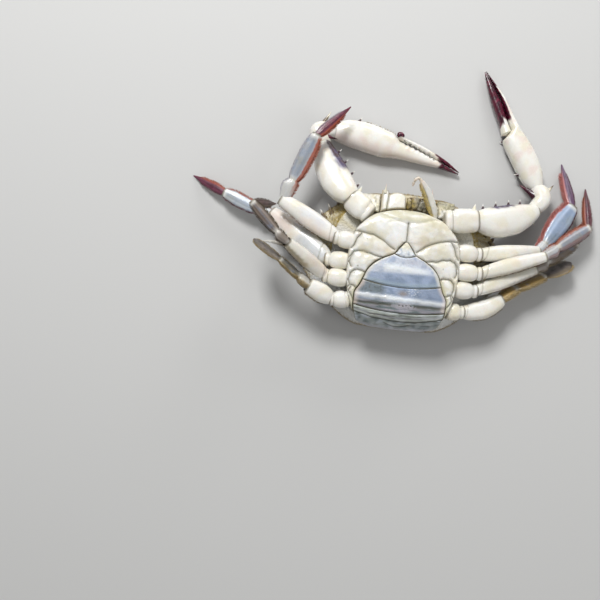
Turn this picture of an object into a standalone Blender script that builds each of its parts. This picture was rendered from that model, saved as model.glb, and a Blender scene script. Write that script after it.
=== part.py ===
"""Gazami crab (Portunus trituberculatus), adult female, life size, lying on its back.

Frame: +X is the crab's left, +Y its head end and +Z up, which is its ventral side.
The origin is at the middle of the flat of the back that the crab rests on.
Lengths are millimetres here and become metres when a mesh is made.
"""
import math

import bmesh
import bpy
from mathutils import Matrix, Vector

MM = 0.001
GAP = 0.3

# Driving dimensions
SPINE_SPAN = 160.0
BODY_HALF_WIDTH = 57.5
FRONT_Y = 38.6
REAR_Y = -38.4
MARGIN_Z = 11.4
WALL_TOP_Z = 19.4
STERNUM_TOP_Z = 32.4
REST_SCALE = 0.2
LEFT, RIGHT = 1, -1
SIDE_NAMES = {LEFT: "left", RIGHT: "right"}

# Half of the back's outline, from the middle of the front round to the middle of the rear
BACK_OUTLINE = [
    (0.0, FRONT_Y), (9.0, 38.0), (15.0, 36.6), (20.0, 34.4), (25.5, 34.8), (33.0, 31.8), (41.0, 27.0),
    (48.5, 20.2), (54.0, 12.2), (57.2, 4.0), (BODY_HALF_WIDTH, -2.0), (54.0, -10.0), (47.0, -19.0),
    (38.0, -27.5), (29.0, -34.4), (21.0, -37.6), (11.0, -38.2), (0.0, REAR_Y),
]
# Half of the outline where the side walls meet the plates of the belly
WALL_OUTLINE = [
    (0.0, 33.5), (12.0, 33.0), (22.0, 31.5), (31.0, 27.0), (37.0, 20.0), (39.5, 11.0), (40.0, 2.0),
    (38.0, -7.0), (34.0, -17.0), (29.5, -25.0), (25.0, -31.0), (16.0, -34.0), (0.0, -34.5),
]
# The rings of the back: scale of the outline, height and share of the wall outline
BACK_RINGS = [
    (REST_SCALE, 0.0, 0.0), (0.36, 0.45, 0.0), (0.53, 1.6, 0.0), (0.69, 3.4, 0.0), (0.83, 5.9, 0.0),
    (0.93, 8.6, 0.0), (1.0, MARGIN_Z, 0.0), (0.995, 12.3, 0.0), (1.0, 14.0, 0.45), (1.0, 16.6, 0.8),
    (1.0, 18.6, 1.0), (0.96, WALL_TOP_Z, 1.0),
]
OUTLINE_STEPS = 27

# The eight teeth of each front border: share of the way along it, length
TOOTH_COUNT = 8
TOOTH_LENGTH = 3.4
TOOTH_RADIUS = 2.1
LONG_SPINE_ROOT = (52.0, 2.6)
LONG_SPINE_RADIUS = 3.6
LONG_SPINE_Z = 10.6

# The belly: half-width of the plates of the chest at each y
STERNUM_HALF_WIDTH = [
    (-35.0, 21.0), (-30.0, 25.0), (-25.0, 27.5), (-18.0, 29.6), (-10.0, 30.8), (0.0, 31.0), (8.0, 30.2),
    (14.0, 28.4), (20.0, 23.6), (24.1, 18.4), (25.4, 15.0), (26.6, 11.0), (27.5, 6.6), (27.9, 3.0),
]
BELLY_FRONT_Y = 28.0
BELLY_FRONT_CURVE = 0.0115
STERNUM_FLOOR_Z = WALL_TOP_Z + GAP
STERNUM_COLUMNS = 20
STERNUM_ROWS = 21
GROOVE_DEPTH = 0.8
GROOVE_WIDTH = 1.3
# Borders between the plates of the chest on one side, as (x, y)
STERNUM_GROOVES = [
    [(0.0, 29.0), (0.0, 9.0)],
    [(30.0, 14.0), (21.0, 13.0), (15.0, 10.8), (8.0, 6.8)],
    [(31.5, 1.4), (25.0, 3.0), (18.0, 2.2), (13.0, 0.0)],
    [(31.5, -9.2), (25.0, -7.6), (20.0, -9.0)],
    [(30.5, -16.6), (24.0, -18.8)],
]

# The apron that is folded over the belly: half-width at each y
APRON_HALF_WIDTH = [
    (-38.8, 9.0), (-37.6, 15.0), (-35.0, 22.5), (-31.0, 24.2), (-26.0, 25.2), (-20.5, 25.2), (-15.0, 22.6),
    (-12.0, 21.4), (-7.0, 19.6), (-3.0, 16.6), (0.5, 11.6), (2.6, 7.0), (3.4, 5.6), (6.5, 3.6), (9.0, 1.5),
    (10.0, 0.5),
]
APRON_THICKNESS = 2.4
APRON_RISE = 1.0
# Each border of the apron's segments: y at the middle, rise at the edge, half-width
APRON_LINES = {
    "tip": (10.0, 0.0, 1.0),
    "telson_base": (1.6, 1.6, 6.0),
    "somite_6_base": (-15.0, 2.6, 22.0),
    "somite_5_base": (-29.0, 2.4, 25.0),
    "apron_base": (-38.8, 1.0, 25.0),
}
APRON_PLATES = [
    ("apron_telson", "tip", "telson_base", 6, 4),
    ("apron_somite_6", "telson_base", "somite_6_base", 14, 6),
    ("apron_somite_5", "somite_6_base", "somite_5_base", 14, 5),
    ("apron_base", "somite_5_base", "apron_base", 14, 5),
]

# Legs: joints from the root to the tip, in the order coxa, merus, carpus, propodus, dactyl
CHELIPED_JOINTS = {
    LEFT: [(19.0, 24.2, 25.0), (37.6, 26.8, 24.0), (71.6, 38.6, 12.0), (75.8, 44.8, 10.2), (73.8, 50.0, 7.4),
           (37.4, 115.3, 3.4)],
    RIGHT: [(-20.5, 22.5, 25.0), (-32.2, 31.0, 23.6), (-49.7, 62.0, 11.4), (-54.6, 68.4, 10.2),
            (-46.9, 70.6, 7.4), (28.3, 54.9, 3.4)],
}
WALKING_JOINTS = {
    (2, LEFT): [(28.0, 8.0, 26.2), (41.4, 8.3, 23.4), (75.8, 14.3, 15.0), (79.2, 18.6, 14.2),
                (93.7, 41.8, 11.0), (88.0, 67.6, 0.1)],
    (2, RIGHT): [(-27.0, 7.4, 26.2), (-38.4, 8.8, 25.6), (-70.2, 26.2, 24.5), (-65.0, 38.8, 26.2),
                 (-55.8, 63.0, 27.0), (-38.4, 82.1, 23.0)],
    (3, LEFT): [(29.0, -2.6, 26.2), (42.6, -2.3, 25.0), (77.6, 11.1, 23.5), (83.2, 15.7, 21.0),
                (103.5, 30.7, 13.0), (103.4, 54.8, 0.1)],
    (3, RIGHT): [(-29.0, -3.6, 26.2), (-41.8, -3.4, 23.4), (-75.4, 19.0, 11.0), (-82.0, 20.2, 10.4),
                 (-103.6, 28.2, 8.0), (-124.0, 37.0, 0.1)],
    (4, LEFT): [(28.6, -12.6, 26.0), (41.2, -12.2, 23.0), (74.7, 3.8, 17.0), (81.4, 9.2, 15.0),
                (98.0, 22.2, 10.0), (108.0, 40.1, 0.1)],
    (4, RIGHT): [(-28.6, -13.6, 26.0), (-42.2, -12.6, 25.2), (-64.2, 1.6, 43.0), (-68.4, 4.9, 43.4),
                 (-85.1, 20.6, 44.0), (-73.4, 22.9, 31.5)],
    (5, LEFT): [(25.6, -25.2, 23.8), (35.6, -24.6, 21.8), (57.6, -15.4, 16.0), (65.2, -8.6, 13.0),
                (81.8, 1.6, 9.6), (98.0, 11.0, 6.6)],
    (5, RIGHT): [(-26.0, -24.6, 23.8), (-37.2, -25.2, 24.4), (-50.3, -19.7, 28.0), (-57.6, -14.5, 30.0),
                 (-67.2, -7.3, 31.5), (-83.5, 2.5, 31.0)],
}
# Spines of the claw's carpus: the long one on its inner angle and the one on its outer angle
CARPUS_SPINES = {
    LEFT: [((73.4, 45.6, 10.0), (62.6, 51.8, 9.4), 2.7), ((77.6, 47.6, 10.2), (81.8, 53.4, 11.0), 1.9)],
    RIGHT: [((-52.5, 66.8, 12.0), (-43.2, 64.9, 14.6), 1.7), ((-54.0, 71.0, 10.4), (-48.8, 80.8, 10.8), 2.0)],
}
# How much wider than the table the merus of some legs is
MERUS_WIDTH = {(2, LEFT): 1.08, (2, RIGHT): 1.22, (3, RIGHT): 1.42}
# How much wider than the table the lower segments of some legs are
LOWER_WIDTH = {(2, RIGHT): 1.12, (4, RIGHT): 0.74}
# The left swimming leg's merus bends here
SWIM_MERUS_BEND = (47.4, -22.0, 19.0)
# How far the flat end of each swimming leg is turned about its own length, in degrees
SWIM_ROLL = {LEFT: -58.0, RIGHT: 71.0}
# How far each segment's root reaches back into the one before it, and how far its end wraps the next
ROOT_SINK = 1.8
END_WRAP = 1.2

# Cross-sections: share of the length, half-width forward and backward, half-height up and down
CHELIPED_COXA = [(0.0, 4.0, 4.0, 3.0, 2.8), (0.12, 6.4, 6.0, 4.7, 3.4), (0.27, 6.0, 5.9, 4.6, 3.4),
                 (0.42, 6.9, 6.7, 5.2, 3.7), (0.65, 6.8, 6.8, 5.0, 4.2), (0.9, 6.4, 6.2, 5.0, 5.0),
                 (1.0, 5.0, 4.8, 4.2, 4.2)]
CHELIPED_MERUS = [(0.0, 3.4, 4.0, 3.4, 3.4), (0.07, 5.2, 6.8, 5.0, 5.0), (0.2, 5.8, 10.0, 5.8, 5.8),
                  (0.4, 5.6, 12.2, 6.3, 6.0), (0.6, 5.0, 12.2, 6.3, 5.8), (0.8, 3.8, 10.0, 5.9, 5.4),
                  (0.93, 3.0, 7.4, 5.2, 4.8), (1.0, 2.2, 4.6, 3.8, 3.6)]
CHELIPED_CARPUS = [(0.0, 2.8, 2.8, 2.8, 2.8), (0.12, 4.0, 4.2, 4.2, 4.2), (0.45, 4.6, 5.2, 5.6, 5.4),
                   (0.75, 4.7, 5.6, 5.7, 5.4), (0.93, 4.4, 4.6, 5.0, 5.0), (1.0, 3.4, 3.4, 3.6, 3.6)]
# The hand: share of the length, half-height, edge on the movable finger's side, line where the
# fingers meet, and edge on the fixed finger's side
HAND_SECTIONS = {
    LEFT: [(0.0, 3.2, 3.4, 0.6, 3.4), (0.05, 4.8, 4.8, 0.6, 4.9), (0.14, 5.9, 6.4, 0.6, 6.9),
           (0.28, 6.4, 7.2, 0.6, 7.6), (0.4, 6.0, 7.4, 0.5, 6.6), (0.5, 5.0, 6.3, 0.3, 5.2),
           (0.56, 4.2, 5.2, 0.0, 4.8), (0.75, 3.0, 4.1, -1.4, 4.2), (0.88, 2.0, 2.6, -0.9, 2.4),
           (1.0, 0.5, 0.7, -0.1, 0.6)],
    RIGHT: [(0.0, 3.2, 4.0, 7.2, 3.8), (0.05, 4.8, 7.0, 7.2, 4.8), (0.14, 5.9, 9.9, 7.2, 5.4),
            (0.28, 6.4, 11.1, 7.2, 5.6), (0.4, 6.0, 10.5, 7.2, 5.3), (0.5, 5.0, 9.7, 7.0, 3.6),
            (0.56, 4.2, 9.4, 6.4, 2.8), (0.75, 3.0, 7.4, 4.3, 1.4), (0.88, 2.0, 4.9, 2.4, 0.5),
            (1.0, 0.5, 1.1, 0.3, 0.5)],
}
FINGER_START = 0.5
# On which side of the hand the movable finger lies: forward on the left hand, to the front of the
# crab on the folded right hand
FINGER_SIDE = {LEFT: 1, RIGHT: -1}
# The knuckle of the folded right claw's movable finger, which stands out past the palm's edge
KNUCKLE = [(-9.6, 73.2, 6.8), (-5.4, 72.3, 6.8)]
KNUCKLE_SECTIONS = [(0.0, 0.9, 0.9, 0.9, 0.9), (0.25, 1.7, 1.7, 1.6, 1.6), (0.6, 1.8, 1.8, 1.7, 1.7),
                    (1.0, 0.8, 0.8, 0.8, 0.8)]

COXA = [(0.0, 3.0, 3.0, 2.8, 2.6), (0.12, 4.6, 4.6, 3.9, 3.6), (0.34, 5.1, 5.1, 4.4, 4.0),
        (0.6, 4.7, 4.7, 4.2, 3.9), (0.8, 3.8, 3.8, 3.5, 3.4), (1.0, 3.3, 3.3, 3.1, 3.0)]
MERUS = [(0.0, 2.2, 2.2, 2.0, 2.0), (0.08, 3.3, 3.3, 3.0, 2.9), (0.17, 3.8, 3.8, 3.3, 3.1),
         (0.45, 4.4, 4.4, 3.6, 3.4), (0.85, 3.6, 3.5, 3.1, 3.0), (1.0, 2.5, 2.5, 2.3, 2.3)]
LOWER_LEG = [(0.0, 1.8, 1.8, 1.7, 1.7), (0.1, 2.9, 2.9, 2.5, 2.5), (0.24, 3.2, 4.2, 2.6, 2.5),
             (0.33, 2.4, 2.4, 2.1, 2.1), (0.45, 3.6, 3.5, 2.1, 2.0), (0.75, 4.0, 3.9, 2.0, 1.9),
             (0.94, 3.0, 3.0, 1.9, 1.8), (1.0, 2.2, 2.2, 1.5, 1.5)]
# The second left leg has a shorter carpus and a broader propodus than the others
BROAD_LOWER_LEG = [(0.0, 1.8, 1.8, 1.7, 1.7), (0.08, 2.9, 2.9, 2.5, 2.5), (0.17, 3.2, 3.8, 2.6, 2.5),
                   (0.235, 2.6, 2.6, 2.1, 2.1), (0.36, 4.4, 4.3, 2.1, 2.0), (0.65, 5.6, 5.5, 2.0, 1.9),
                   (0.92, 4.0, 3.9, 1.9, 1.8), (1.0, 2.4, 2.4, 1.5, 1.5)]
DACTYL = [(0.0, 1.2, 1.2, 0.9, 0.9), (0.1, 2.1, 2.1, 1.4, 1.4), (0.3, 2.7, 2.6, 1.5, 1.5),
          (0.65, 2.0, 1.9, 1.2, 1.2), (1.0, 0.35, 0.35, 0.35, 0.35)]
SWIM_MERUS = [(0.0, 2.8, 2.8, 2.4, 2.4), (0.12, 4.2, 4.2, 3.6, 3.6), (0.5, 5.3, 5.3, 4.4, 4.2),
              (0.88, 4.6, 4.6, 3.8, 3.8), (1.0, 3.2, 3.2, 2.8, 2.8)]
SWIM_LOWER_LEG = [(0.0, 2.2, 2.2, 1.9, 1.9), (0.1, 3.6, 3.6, 2.9, 2.9), (0.28, 4.6, 4.6, 3.0, 3.0),
                  (0.4, 3.4, 3.4, 2.2, 2.2), (0.6, 5.4, 5.4, 1.7, 1.7), (0.85, 5.2, 5.2, 1.4, 1.4),
                  (1.0, 3.2, 3.2, 1.0, 1.0)]
PADDLE = [(0.0, 2.0, 2.0, 0.6, 0.6), (0.1, 4.2, 4.2, 0.85, 0.85), (0.35, 6.6, 6.6, 0.85, 0.85),
          (0.65, 6.9, 6.9, 0.75, 0.75), (0.88, 4.6, 4.6, 0.65, 0.65), (1.0, 0.8, 0.8, 0.45, 0.45)]

# Colours are linear RGB with roughness
COLOURS = {
    "belly_shell": ((0.76, 0.73, 0.64), 0.35),
    "back_shell": ((0.20, 0.16, 0.11), 0.45),
    "apron": ((0.42, 0.46, 0.58), 0.4),
    "claw_tip": ((0.16, 0.02, 0.04), 0.3),
    "leg_blue": ((0.46, 0.50, 0.58), 0.35),
    "leg_red": ((0.20, 0.07, 0.12), 0.4),
    "paddle": ((0.20, 0.17, 0.14), 0.4),
    "mouth": ((0.36, 0.24, 0.08), 0.5),
    "eye": ((0.03, 0.02, 0.02), 0.15),
}


def clear_scene():
    for item in list(bpy.data.objects):
        bpy.data.objects.remove(item)


def monotone(table, place, column=1):
    """Read a column of a table at a place, on a smooth curve that never overshoots."""
    xs = [row[0] for row in table]
    ys = [row[column] for row in table]
    place = min(max(place, xs[0]), xs[-1])
    cell = max(i for i in range(len(xs) - 1) if xs[i] <= place)
    slopes = [(ys[i + 1] - ys[i]) / (xs[i + 1] - xs[i]) for i in range(len(xs) - 1)]

    def tangent(i):
        if i in (0, len(xs) - 1):
            return slopes[0] if i == 0 else slopes[-1]
        before, after = slopes[i - 1], slopes[i]
        return 2 * before * after / (before + after) if before * after > 0 else 0.0

    width = xs[cell + 1] - xs[cell]
    t = (place - xs[cell]) / width
    start, end = ys[cell], ys[cell + 1]
    return ((2 * t ** 3 - 3 * t ** 2 + 1) * start + (t ** 3 - 2 * t ** 2 + t) * width * tangent(cell)
            + (3 * t ** 2 - 2 * t ** 3) * end + (t ** 3 - t ** 2) * width * tangent(cell + 1))


def along(points):
    """Give each point of a route its share of the length, as rows for monotone()."""
    total, rows = 0.0, [(0.0, *points[0])]
    for before, after in zip(points, points[1:]):
        total += (Vector(after) - Vector(before)).length
        rows.append((total, *after))
    return [(row[0] / total, *row[1:]) for row in rows]


def route(points, share):
    rows = along(points)
    return Vector([monotone(rows, share, column) for column in range(1, len(rows[0]))])


def closed_outline(half, steps):
    """Points of a whole outline that is the same on both sides, clockwise from the front."""
    right_half = [route(half, i / steps) for i in range(steps + 1)]
    left_half = [Vector((-point.x, point.y)) for point in reversed(right_half[1:-1])]
    return right_half + left_half


def stack_rings(rings):
    """Close a stack of rings with equal counts of points into one solid."""
    count = len(rings[0])
    points = [point for ring in rings for point in ring]
    faces = []
    for level in range(len(rings) - 1):
        for i in range(count):
            j = (i + 1) % count
            low, high = level * count, (level + 1) * count
            faces += [(low + i, low + j, high + j), (low + i, high + j, high + i)]
    for level, ring in ((0, rings[0]), (len(rings) - 1, rings[-1])):
        points.append(sum(ring, Vector((0, 0, 0))) / count)
        middle = len(points) - 1
        faces += [(level * count + i, level * count + (i + 1) % count, middle) for i in range(count)]
    return points, faces


def rounded(angle, squareness):
    """A point of a rounded square, where squareness 2 is a circle."""
    c, s = math.cos(angle), math.sin(angle)
    power = 2 / squareness
    return math.copysign(abs(c) ** power, c), math.copysign(abs(s) ** power, s)


def limb(points, sections, hand=LEFT, roll=0.0, sides=8, shares=None, rings=7, squareness=2.3, grow=0.0):
    """Loft a leg segment along a route, with its forward side on the crab's front."""
    if shares is None:
        shares = [(1 - math.cos(math.pi * i / (rings - 1))) / 2 for i in range(rings)]
    stack = []
    for share in shares:
        place = route(points, share)
        ahead = route(points, min(share + 0.02, 1)) - route(points, max(share - 0.02, 0))
        ahead.normalize()
        up = Vector((0, 0, 1))
        up = (up - ahead * up.dot(ahead)).normalized()
        up.rotate(Matrix.Rotation(roll, 3, ahead))
        forward = up.cross(ahead) * hand
        front, back, top, bottom = [monotone(sections, share, column) for column in range(1, 5)]
        place = place + forward * (front - back) / 2 + up * (top - bottom) / 2
        if share in (0.0, 1.0):
            place = place + ahead * (grow if share else -grow)
        wide, high = (front + back) / 2 + grow, (top + bottom) / 2 + grow
        ring = []
        for i in range(sides):
            c, s = rounded(2 * math.pi * (i + 0.5) / sides, squareness)
            ring.append(place + forward * c * wide + up * s * high)
        stack.append(ring)
    return stack_rings(stack)


def slab(place, top, bottom, columns, rows):
    """Close a sheet of columns by rows into a solid between two heights.

    place(u, v) gives x and y for u in -1..1 and v in 0..1, and top(x, y) the height. The underside
    is bottom(x, y), or flat where bottom is a number.
    """
    count = columns + 1
    grid = [place(2 * i / columns - 1, j / rows) for j in range(rows + 1) for i in range(count)]
    cells = []
    for j in range(rows):
        for i in range(columns):
            a, b = j * count + i, j * count + i + 1
            c, d = b + count, a + count
            cells += [(a, b, c), (a, c, d)]
    rim = [i for i in range(count)] + [j * count + columns for j in range(1, rows + 1)]
    rim += [rows * count + i for i in range(columns - 1, -1, -1)]
    rim += [j * count for j in range(rows - 1, 0, -1)]
    points = [Vector((x, y, top(x, y))) for x, y in grid]
    if callable(bottom):
        under = {i: len(grid) + i for i in range(len(grid))}
        points += [Vector((x, y, bottom(x, y))) for x, y in grid]
        floor = [(under[c], under[b], under[a]) for a, b, c in cells]
    else:
        under = {i: len(grid) + place_in_rim for place_in_rim, i in enumerate(rim)}
        points += [Vector((*grid[i], bottom)) for i in rim]
        points.append(sum((points[under[i]] for i in rim), Vector((0, 0, 0))) / len(rim))
        middle = len(points) - 1
        floor = [(under[a], under[b], middle) for a, b in zip(rim, rim[1:] + rim[:1])]
    walls = []
    for a, b in zip(rim, rim[1:] + rim[:1]):
        walls += [(a, under[a], under[b]), (a, under[b], b)]
    return points, cells + floor + walls


def spike(root, tip, radius, sides=5, profile=((0.0, 1.0), (0.95, 0.14))):
    """A spine: a cone whose root is sunk in what it grows from."""
    root, tip = Vector(root), Vector(tip)
    ahead = (tip - root).normalized()
    across = ahead.orthogonal().normalized()
    other = ahead.cross(across)
    stack = []
    for share, scale in profile:
        place = root.lerp(tip, share)
        stack.append([place + (across * math.cos(a) + other * math.sin(a)) * radius * scale
                      for a in (2 * math.pi * i / sides for i in range(sides))])
    return stack_rings(stack)


def material(name):
    found = bpy.data.materials.get(name)
    if found:
        return found
    colour, roughness = COLOURS[name]
    made = bpy.data.materials.new(name)
    made.use_nodes = True
    shader = made.node_tree.nodes["Principled BSDF"]
    shader.inputs["Base Color"].default_value = (*colour, 1.0)
    shader.inputs["Roughness"].default_value = roughness
    shader.inputs["Metallic"].default_value = 0.0
    made.diffuse_color = (*colour, 1.0)
    return made


def solid(name, shape, origin=(0.0, 0.0, 0.0)):
    """Make an object of a closed shape, with its faces pointing out and its origin where it hinges."""
    points, faces = shape
    origin = Vector(origin)
    mesh = bpy.data.meshes.new(name)
    mesh.from_pydata([(point - origin) * MM for point in points], [], faces)
    work = bmesh.new()
    work.from_mesh(mesh)
    bmesh.ops.recalc_face_normals(work, faces=work.faces)
    work.to_mesh(mesh)
    work.free()
    made = bpy.data.objects.new(name, mesh)
    made.location = origin * MM
    bpy.context.scene.collection.objects.link(made)
    return made


def keep_largest(mesh):
    """Keep the largest closed surface of a mesh."""
    work = bmesh.new()
    work.from_mesh(mesh)
    unseen, pieces = set(work.faces), []
    while unseen:
        front = [unseen.pop()]
        piece = list(front)
        while front:
            face = front.pop()
            for edge in face.edges:
                for near in edge.link_faces:
                    if near in unseen:
                        unseen.remove(near)
                        front.append(near)
                        piece.append(near)
        pieces.append(piece)
    pieces.sort(key=lambda piece: sum(face.calc_area() for face in piece))
    loose = [face for piece in pieces[:-1] for face in piece]
    bmesh.ops.delete(work, geom=loose, context="FACES")
    bmesh.ops.triangulate(work, faces=work.faces)
    work.to_mesh(mesh)
    work.free()


def combine(target, helpers, operation, solver="EXACT"):
    """Join helpers to a solid or cut it with them, apply that, and remove the helpers."""
    group = bpy.data.collections.new("helpers")
    bpy.context.scene.collection.children.link(group)
    for helper in helpers:
        bpy.context.scene.collection.objects.unlink(helper)
        group.objects.link(helper)
        helper.hide_render = True
        helper.display_type = "WIRE"
    step = target.modifiers.new("combine", "BOOLEAN")
    step.operation = operation
    step.solver = solver
    step.operand_type = "COLLECTION"
    step.collection = group
    bpy.context.view_layer.update()
    shape = bpy.data.meshes.new_from_object(target.evaluated_get(bpy.context.evaluated_depsgraph_get()))
    target.modifiers.clear()
    target.data = shape
    keep_largest(target.data)
    for helper in helpers:
        bpy.data.objects.remove(helper)
    bpy.data.collections.remove(group)


def join(target, shapes):
    combine(target, [solid("helper", shape) for shape in shapes], "UNION")


def cut(target, shapes):
    combine(target, [solid("helper", shape) for shape in shapes], "DIFFERENCE")


def rest_on_floor(target):
    """Cut off what lies below the floor, which leaves small flats at its level."""
    lowest = min((target.matrix_world @ vertex.co).z for vertex in target.data.vertices)
    if lowest < 0:
        reach, depth = 200.0, 20.0
        box = stack_rings([[Vector((x, y, z)) for x, y in ((-reach, -reach), (reach, -reach), (reach, reach),
                                                           (-reach, reach))] for z in (-depth, 0.0)])
        cut(target, [box])


def dress(target, colour, parent):
    """Give a finished node its material and its place under the crab's root."""
    target.data.materials.clear()
    target.data.materials.append(material(colour))
    target.data.shade_smooth()
    target.data.set_sharp_from_angle(angle=math.radians(40))
    target.parent = parent


def back_point(share):
    """A point of the back's outline and the way out of it there."""
    here = route(BACK_OUTLINE, share)
    step = route(BACK_OUTLINE, share + 0.01) - route(BACK_OUTLINE, share - 0.01)
    return here, Vector((-step.y, step.x)).normalized()


def back_shape():
    outer = closed_outline(BACK_OUTLINE, OUTLINE_STEPS)
    inner = closed_outline(WALL_OUTLINE, OUTLINE_STEPS)
    rings = []
    for scale, height, wall in BACK_RINGS:
        up = Vector((0, 0, height))
        rings.append([(a.lerp(b, wall) * scale).to_3d() + up for a, b in zip(outer, inner)])
    return stack_rings(rings)


def border_teeth():
    """The teeth of both front borders, the pairs on the front, and the long side spines."""
    first, last = 0.235, 0.475
    teeth, long_spines = [], []
    for hand in (LEFT, RIGHT):
        for i in range(TOOTH_COUNT):
            here, out = back_point(first + (last - first) * i / (TOOTH_COUNT - 1))
            out = (out + Vector((0.0, 0.35))).normalized()
            length = TOOTH_LENGTH * (1.25 if i == 0 else 1.0)
            root, tip = here - out * 3.0, here + out * length
            teeth.append(((root.x * hand, root.y, MARGIN_Z), (tip.x * hand, tip.y, MARGIN_Z), TOOTH_RADIUS))
        for x, length in ((3.0, 0.8), (8.0, 1.3), (14.2, 1.0)):
            teeth.append(((x * hand, 34.6, 10.6), (x * hand, 38.4 + length, 9.8), 1.7))
        long_spines.append(spike((LONG_SPINE_ROOT[0] * hand, LONG_SPINE_ROOT[1], LONG_SPINE_Z + 0.6),
                                 (SPINE_SPAN / 2 * hand, 3.6, LONG_SPINE_Z - 0.6), LONG_SPINE_RADIUS, 6,
                                 ((0.0, 1.0), (0.4, 0.62), (0.97, 0.12))))
    return [spike(root, tip, radius) for root, tip, radius in teeth] + long_spines


def back_tubercles():
    """The three low bumps on the back: one in the middle in front, a pair behind."""
    bumps = []
    for x, y in ((0.0, 11.5), (6.0, -11.0), (-6.0, -11.0)):
        bumps.append(limb([(x, y, 5.0), (x, y, -0.4)], [(0.0, 2.6, 2.6, 2.6, 2.6), (0.6, 2.6, 2.6, 2.6, 2.6),
                          (1.0, 1.0, 1.0, 1.0, 1.0)], sides=8, shares=[0.0, 0.6, 1.0]))
    return bumps


def cheek(hand):
    """The raised plate beside the mouth."""
    def place(u, v):
        return hand * (21.2 + 4.8 * u), 25.6 + 10.0 * v

    def top(x, y):
        return 25.6 - 0.1 * (abs(x) - 16.4) ** 1.5 - 0.022 * (y - 24.6) ** 2

    return slab(place, top, 14.0, 4, 4)


def distance_to(line, x, y):
    """Distance from a point to a line of straight runs."""
    best = 1e9
    for (ax, ay), (bx, by) in zip(line, line[1:]):
        dx, dy = bx - ax, by - ay
        t = min(max(((x - ax) * dx + (y - ay) * dy) / (dx * dx + dy * dy), 0), 1)
        best = min(best, math.hypot(x - ax - t * dx, y - ay - t * dy))
    return best


def belly_height(x, y):
    """Height of the belly without grooves: highest in the middle, lower at the front and rear."""
    height = STERNUM_TOP_Z - 2.4 * (x / 30.0) ** 2
    height -= 3.4 * max((y - 16.0) / 13.0, 0.0) ** 2
    return height - 7.0 * max((-y - 22.0) / 14.0, 0.0) ** 2


def sternum_height(x, y):
    nearest = min(distance_to(line, abs(x), y) for line in STERNUM_GROOVES)
    return belly_height(x, y) - GROOVE_DEPTH * math.exp(-(nearest / GROOVE_WIDTH) ** 2)


def sternum_shape():
    front, rear = STERNUM_HALF_WIDTH[-1][0], STERNUM_HALF_WIDTH[0][0]

    def place(u, v):
        y = front + (rear - front) * v
        return u * monotone(STERNUM_HALF_WIDTH, y), y

    return slab(place, sternum_height, STERNUM_FLOOR_Z, STERNUM_COLUMNS, STERNUM_ROWS)


def behind_mouth(x):
    """The y where the mouthparts begin, just in front of the curved front of the belly."""
    return BELLY_FRONT_Y - BELLY_FRONT_CURVE * x ** 2 + 2 * GAP


def apron_height(x, y):
    edge = min(abs(x) / 25.0, 1.0)
    height = belly_height(x, max(y, -27.0)) + APRON_RISE * (1 - edge ** 4)
    return height - 12.5 * max((-y - 26.0) / 12.8, 0.0) ** 2


def apron_line(name, x):
    middle, rise, half_width = APRON_LINES[name]
    return middle + rise * min(abs(x) / half_width, 1.0) ** 2


def apron_plate(front, rear, columns, rows):
    def place(u, v):
        edge_front = APRON_LINES[front][0] + APRON_LINES[front][1]
        edge_rear = APRON_LINES[rear][0] + APRON_LINES[rear][1]
        x = u * monotone(APRON_HALF_WIDTH, edge_front + (edge_rear - edge_front) * v)
        y = apron_line(front, x) * (1 - v) + apron_line(rear, x) * v + GAP * (0.5 - v) * -1
        return x, y

    return slab(place, apron_height, lambda x, y: apron_height(x, y) - APRON_THICKNESS, columns, rows)


def apron_recess():
    """The room that the folded apron takes out of the belly."""
    front, rear = APRON_HALF_WIDTH[-1][0] + GAP, APRON_HALF_WIDTH[0][0] - 4.0

    def place(u, v):
        y = front + (rear - front) * v
        return u * (monotone(APRON_HALF_WIDTH, y) + GAP), y

    def floor(x, y):
        return apron_height(x, y) - APRON_THICKNESS - 1.5 * GAP

    return slab(place, lambda x, y: STERNUM_TOP_Z + 8.0, floor, 10, 16)


def closed_jaw_foot():
    """The closed outer mouthpart of the crab's right: its plate, a groove and its outer branch."""
    def place(u, v):
        x = -8.9 + 6.7 * u
        front = 37.4 - 0.08 * (x + 6.5) ** 2 if x > -11.8 else 38.0
        return x, behind_mouth(x) * (1 - v) + front * v

    def top(x, y):
        groove = 0.9 * math.exp(-((x + 11.6) / 0.7) ** 2)
        return 28.2 - 0.02 * (x + 8.0) ** 2 - 0.018 * (y - 26.0) ** 2 - groove

    return slab(place, top, STERNUM_FLOOR_Z, 12, 5)


def inner_mouth():
    def place(u, v):
        x = 6.6 + 7.8 * u
        return x, behind_mouth(x) * (1 - v) + 35.8 * v

    def top(x, y):
        return 24.6 - 0.03 * (x - 6.0) ** 2 + 0.5 * math.cos((x - 6.6) * 1.3)

    return slab(place, top, STERNUM_FLOOR_Z, 10, 3)


OPEN_JAW_FOOT = [(14.2, 26.0, 26.4), (12.2, 30.0, 29.6), (8.6, 36.4, 33.4), (3.8, 43.0, 38.0)]
OPEN_JAW_FOOT_SECTIONS = [(0.0, 1.6, 1.6, 1.6, 1.6), (0.12, 2.3, 2.3, 1.5, 1.5), (0.5, 2.6, 2.6, 1.3, 1.3),
                          (0.85, 2.0, 2.0, 1.2, 1.2), (1.0, 1.2, 1.2, 0.8, 0.8)]
PALP = [(4.6, 41.8, 37.2), (1.8, 44.6, 38.8), (0.0, 43.2, 38.2), (-0.7, 40.2, 36.6)]
PALP_SECTIONS = [(0.0, 0.9, 0.9, 0.8, 0.8), (0.6, 0.8, 0.8, 0.7, 0.7), (1.0, 0.35, 0.35, 0.35, 0.35)]
# The opened mouthpart's thin outer branch: root, tip, radius
OUTER_BRANCH = ((12.6, 31.0, 29.4), (10.4, 40.6, 33.6), 1.0)


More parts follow.
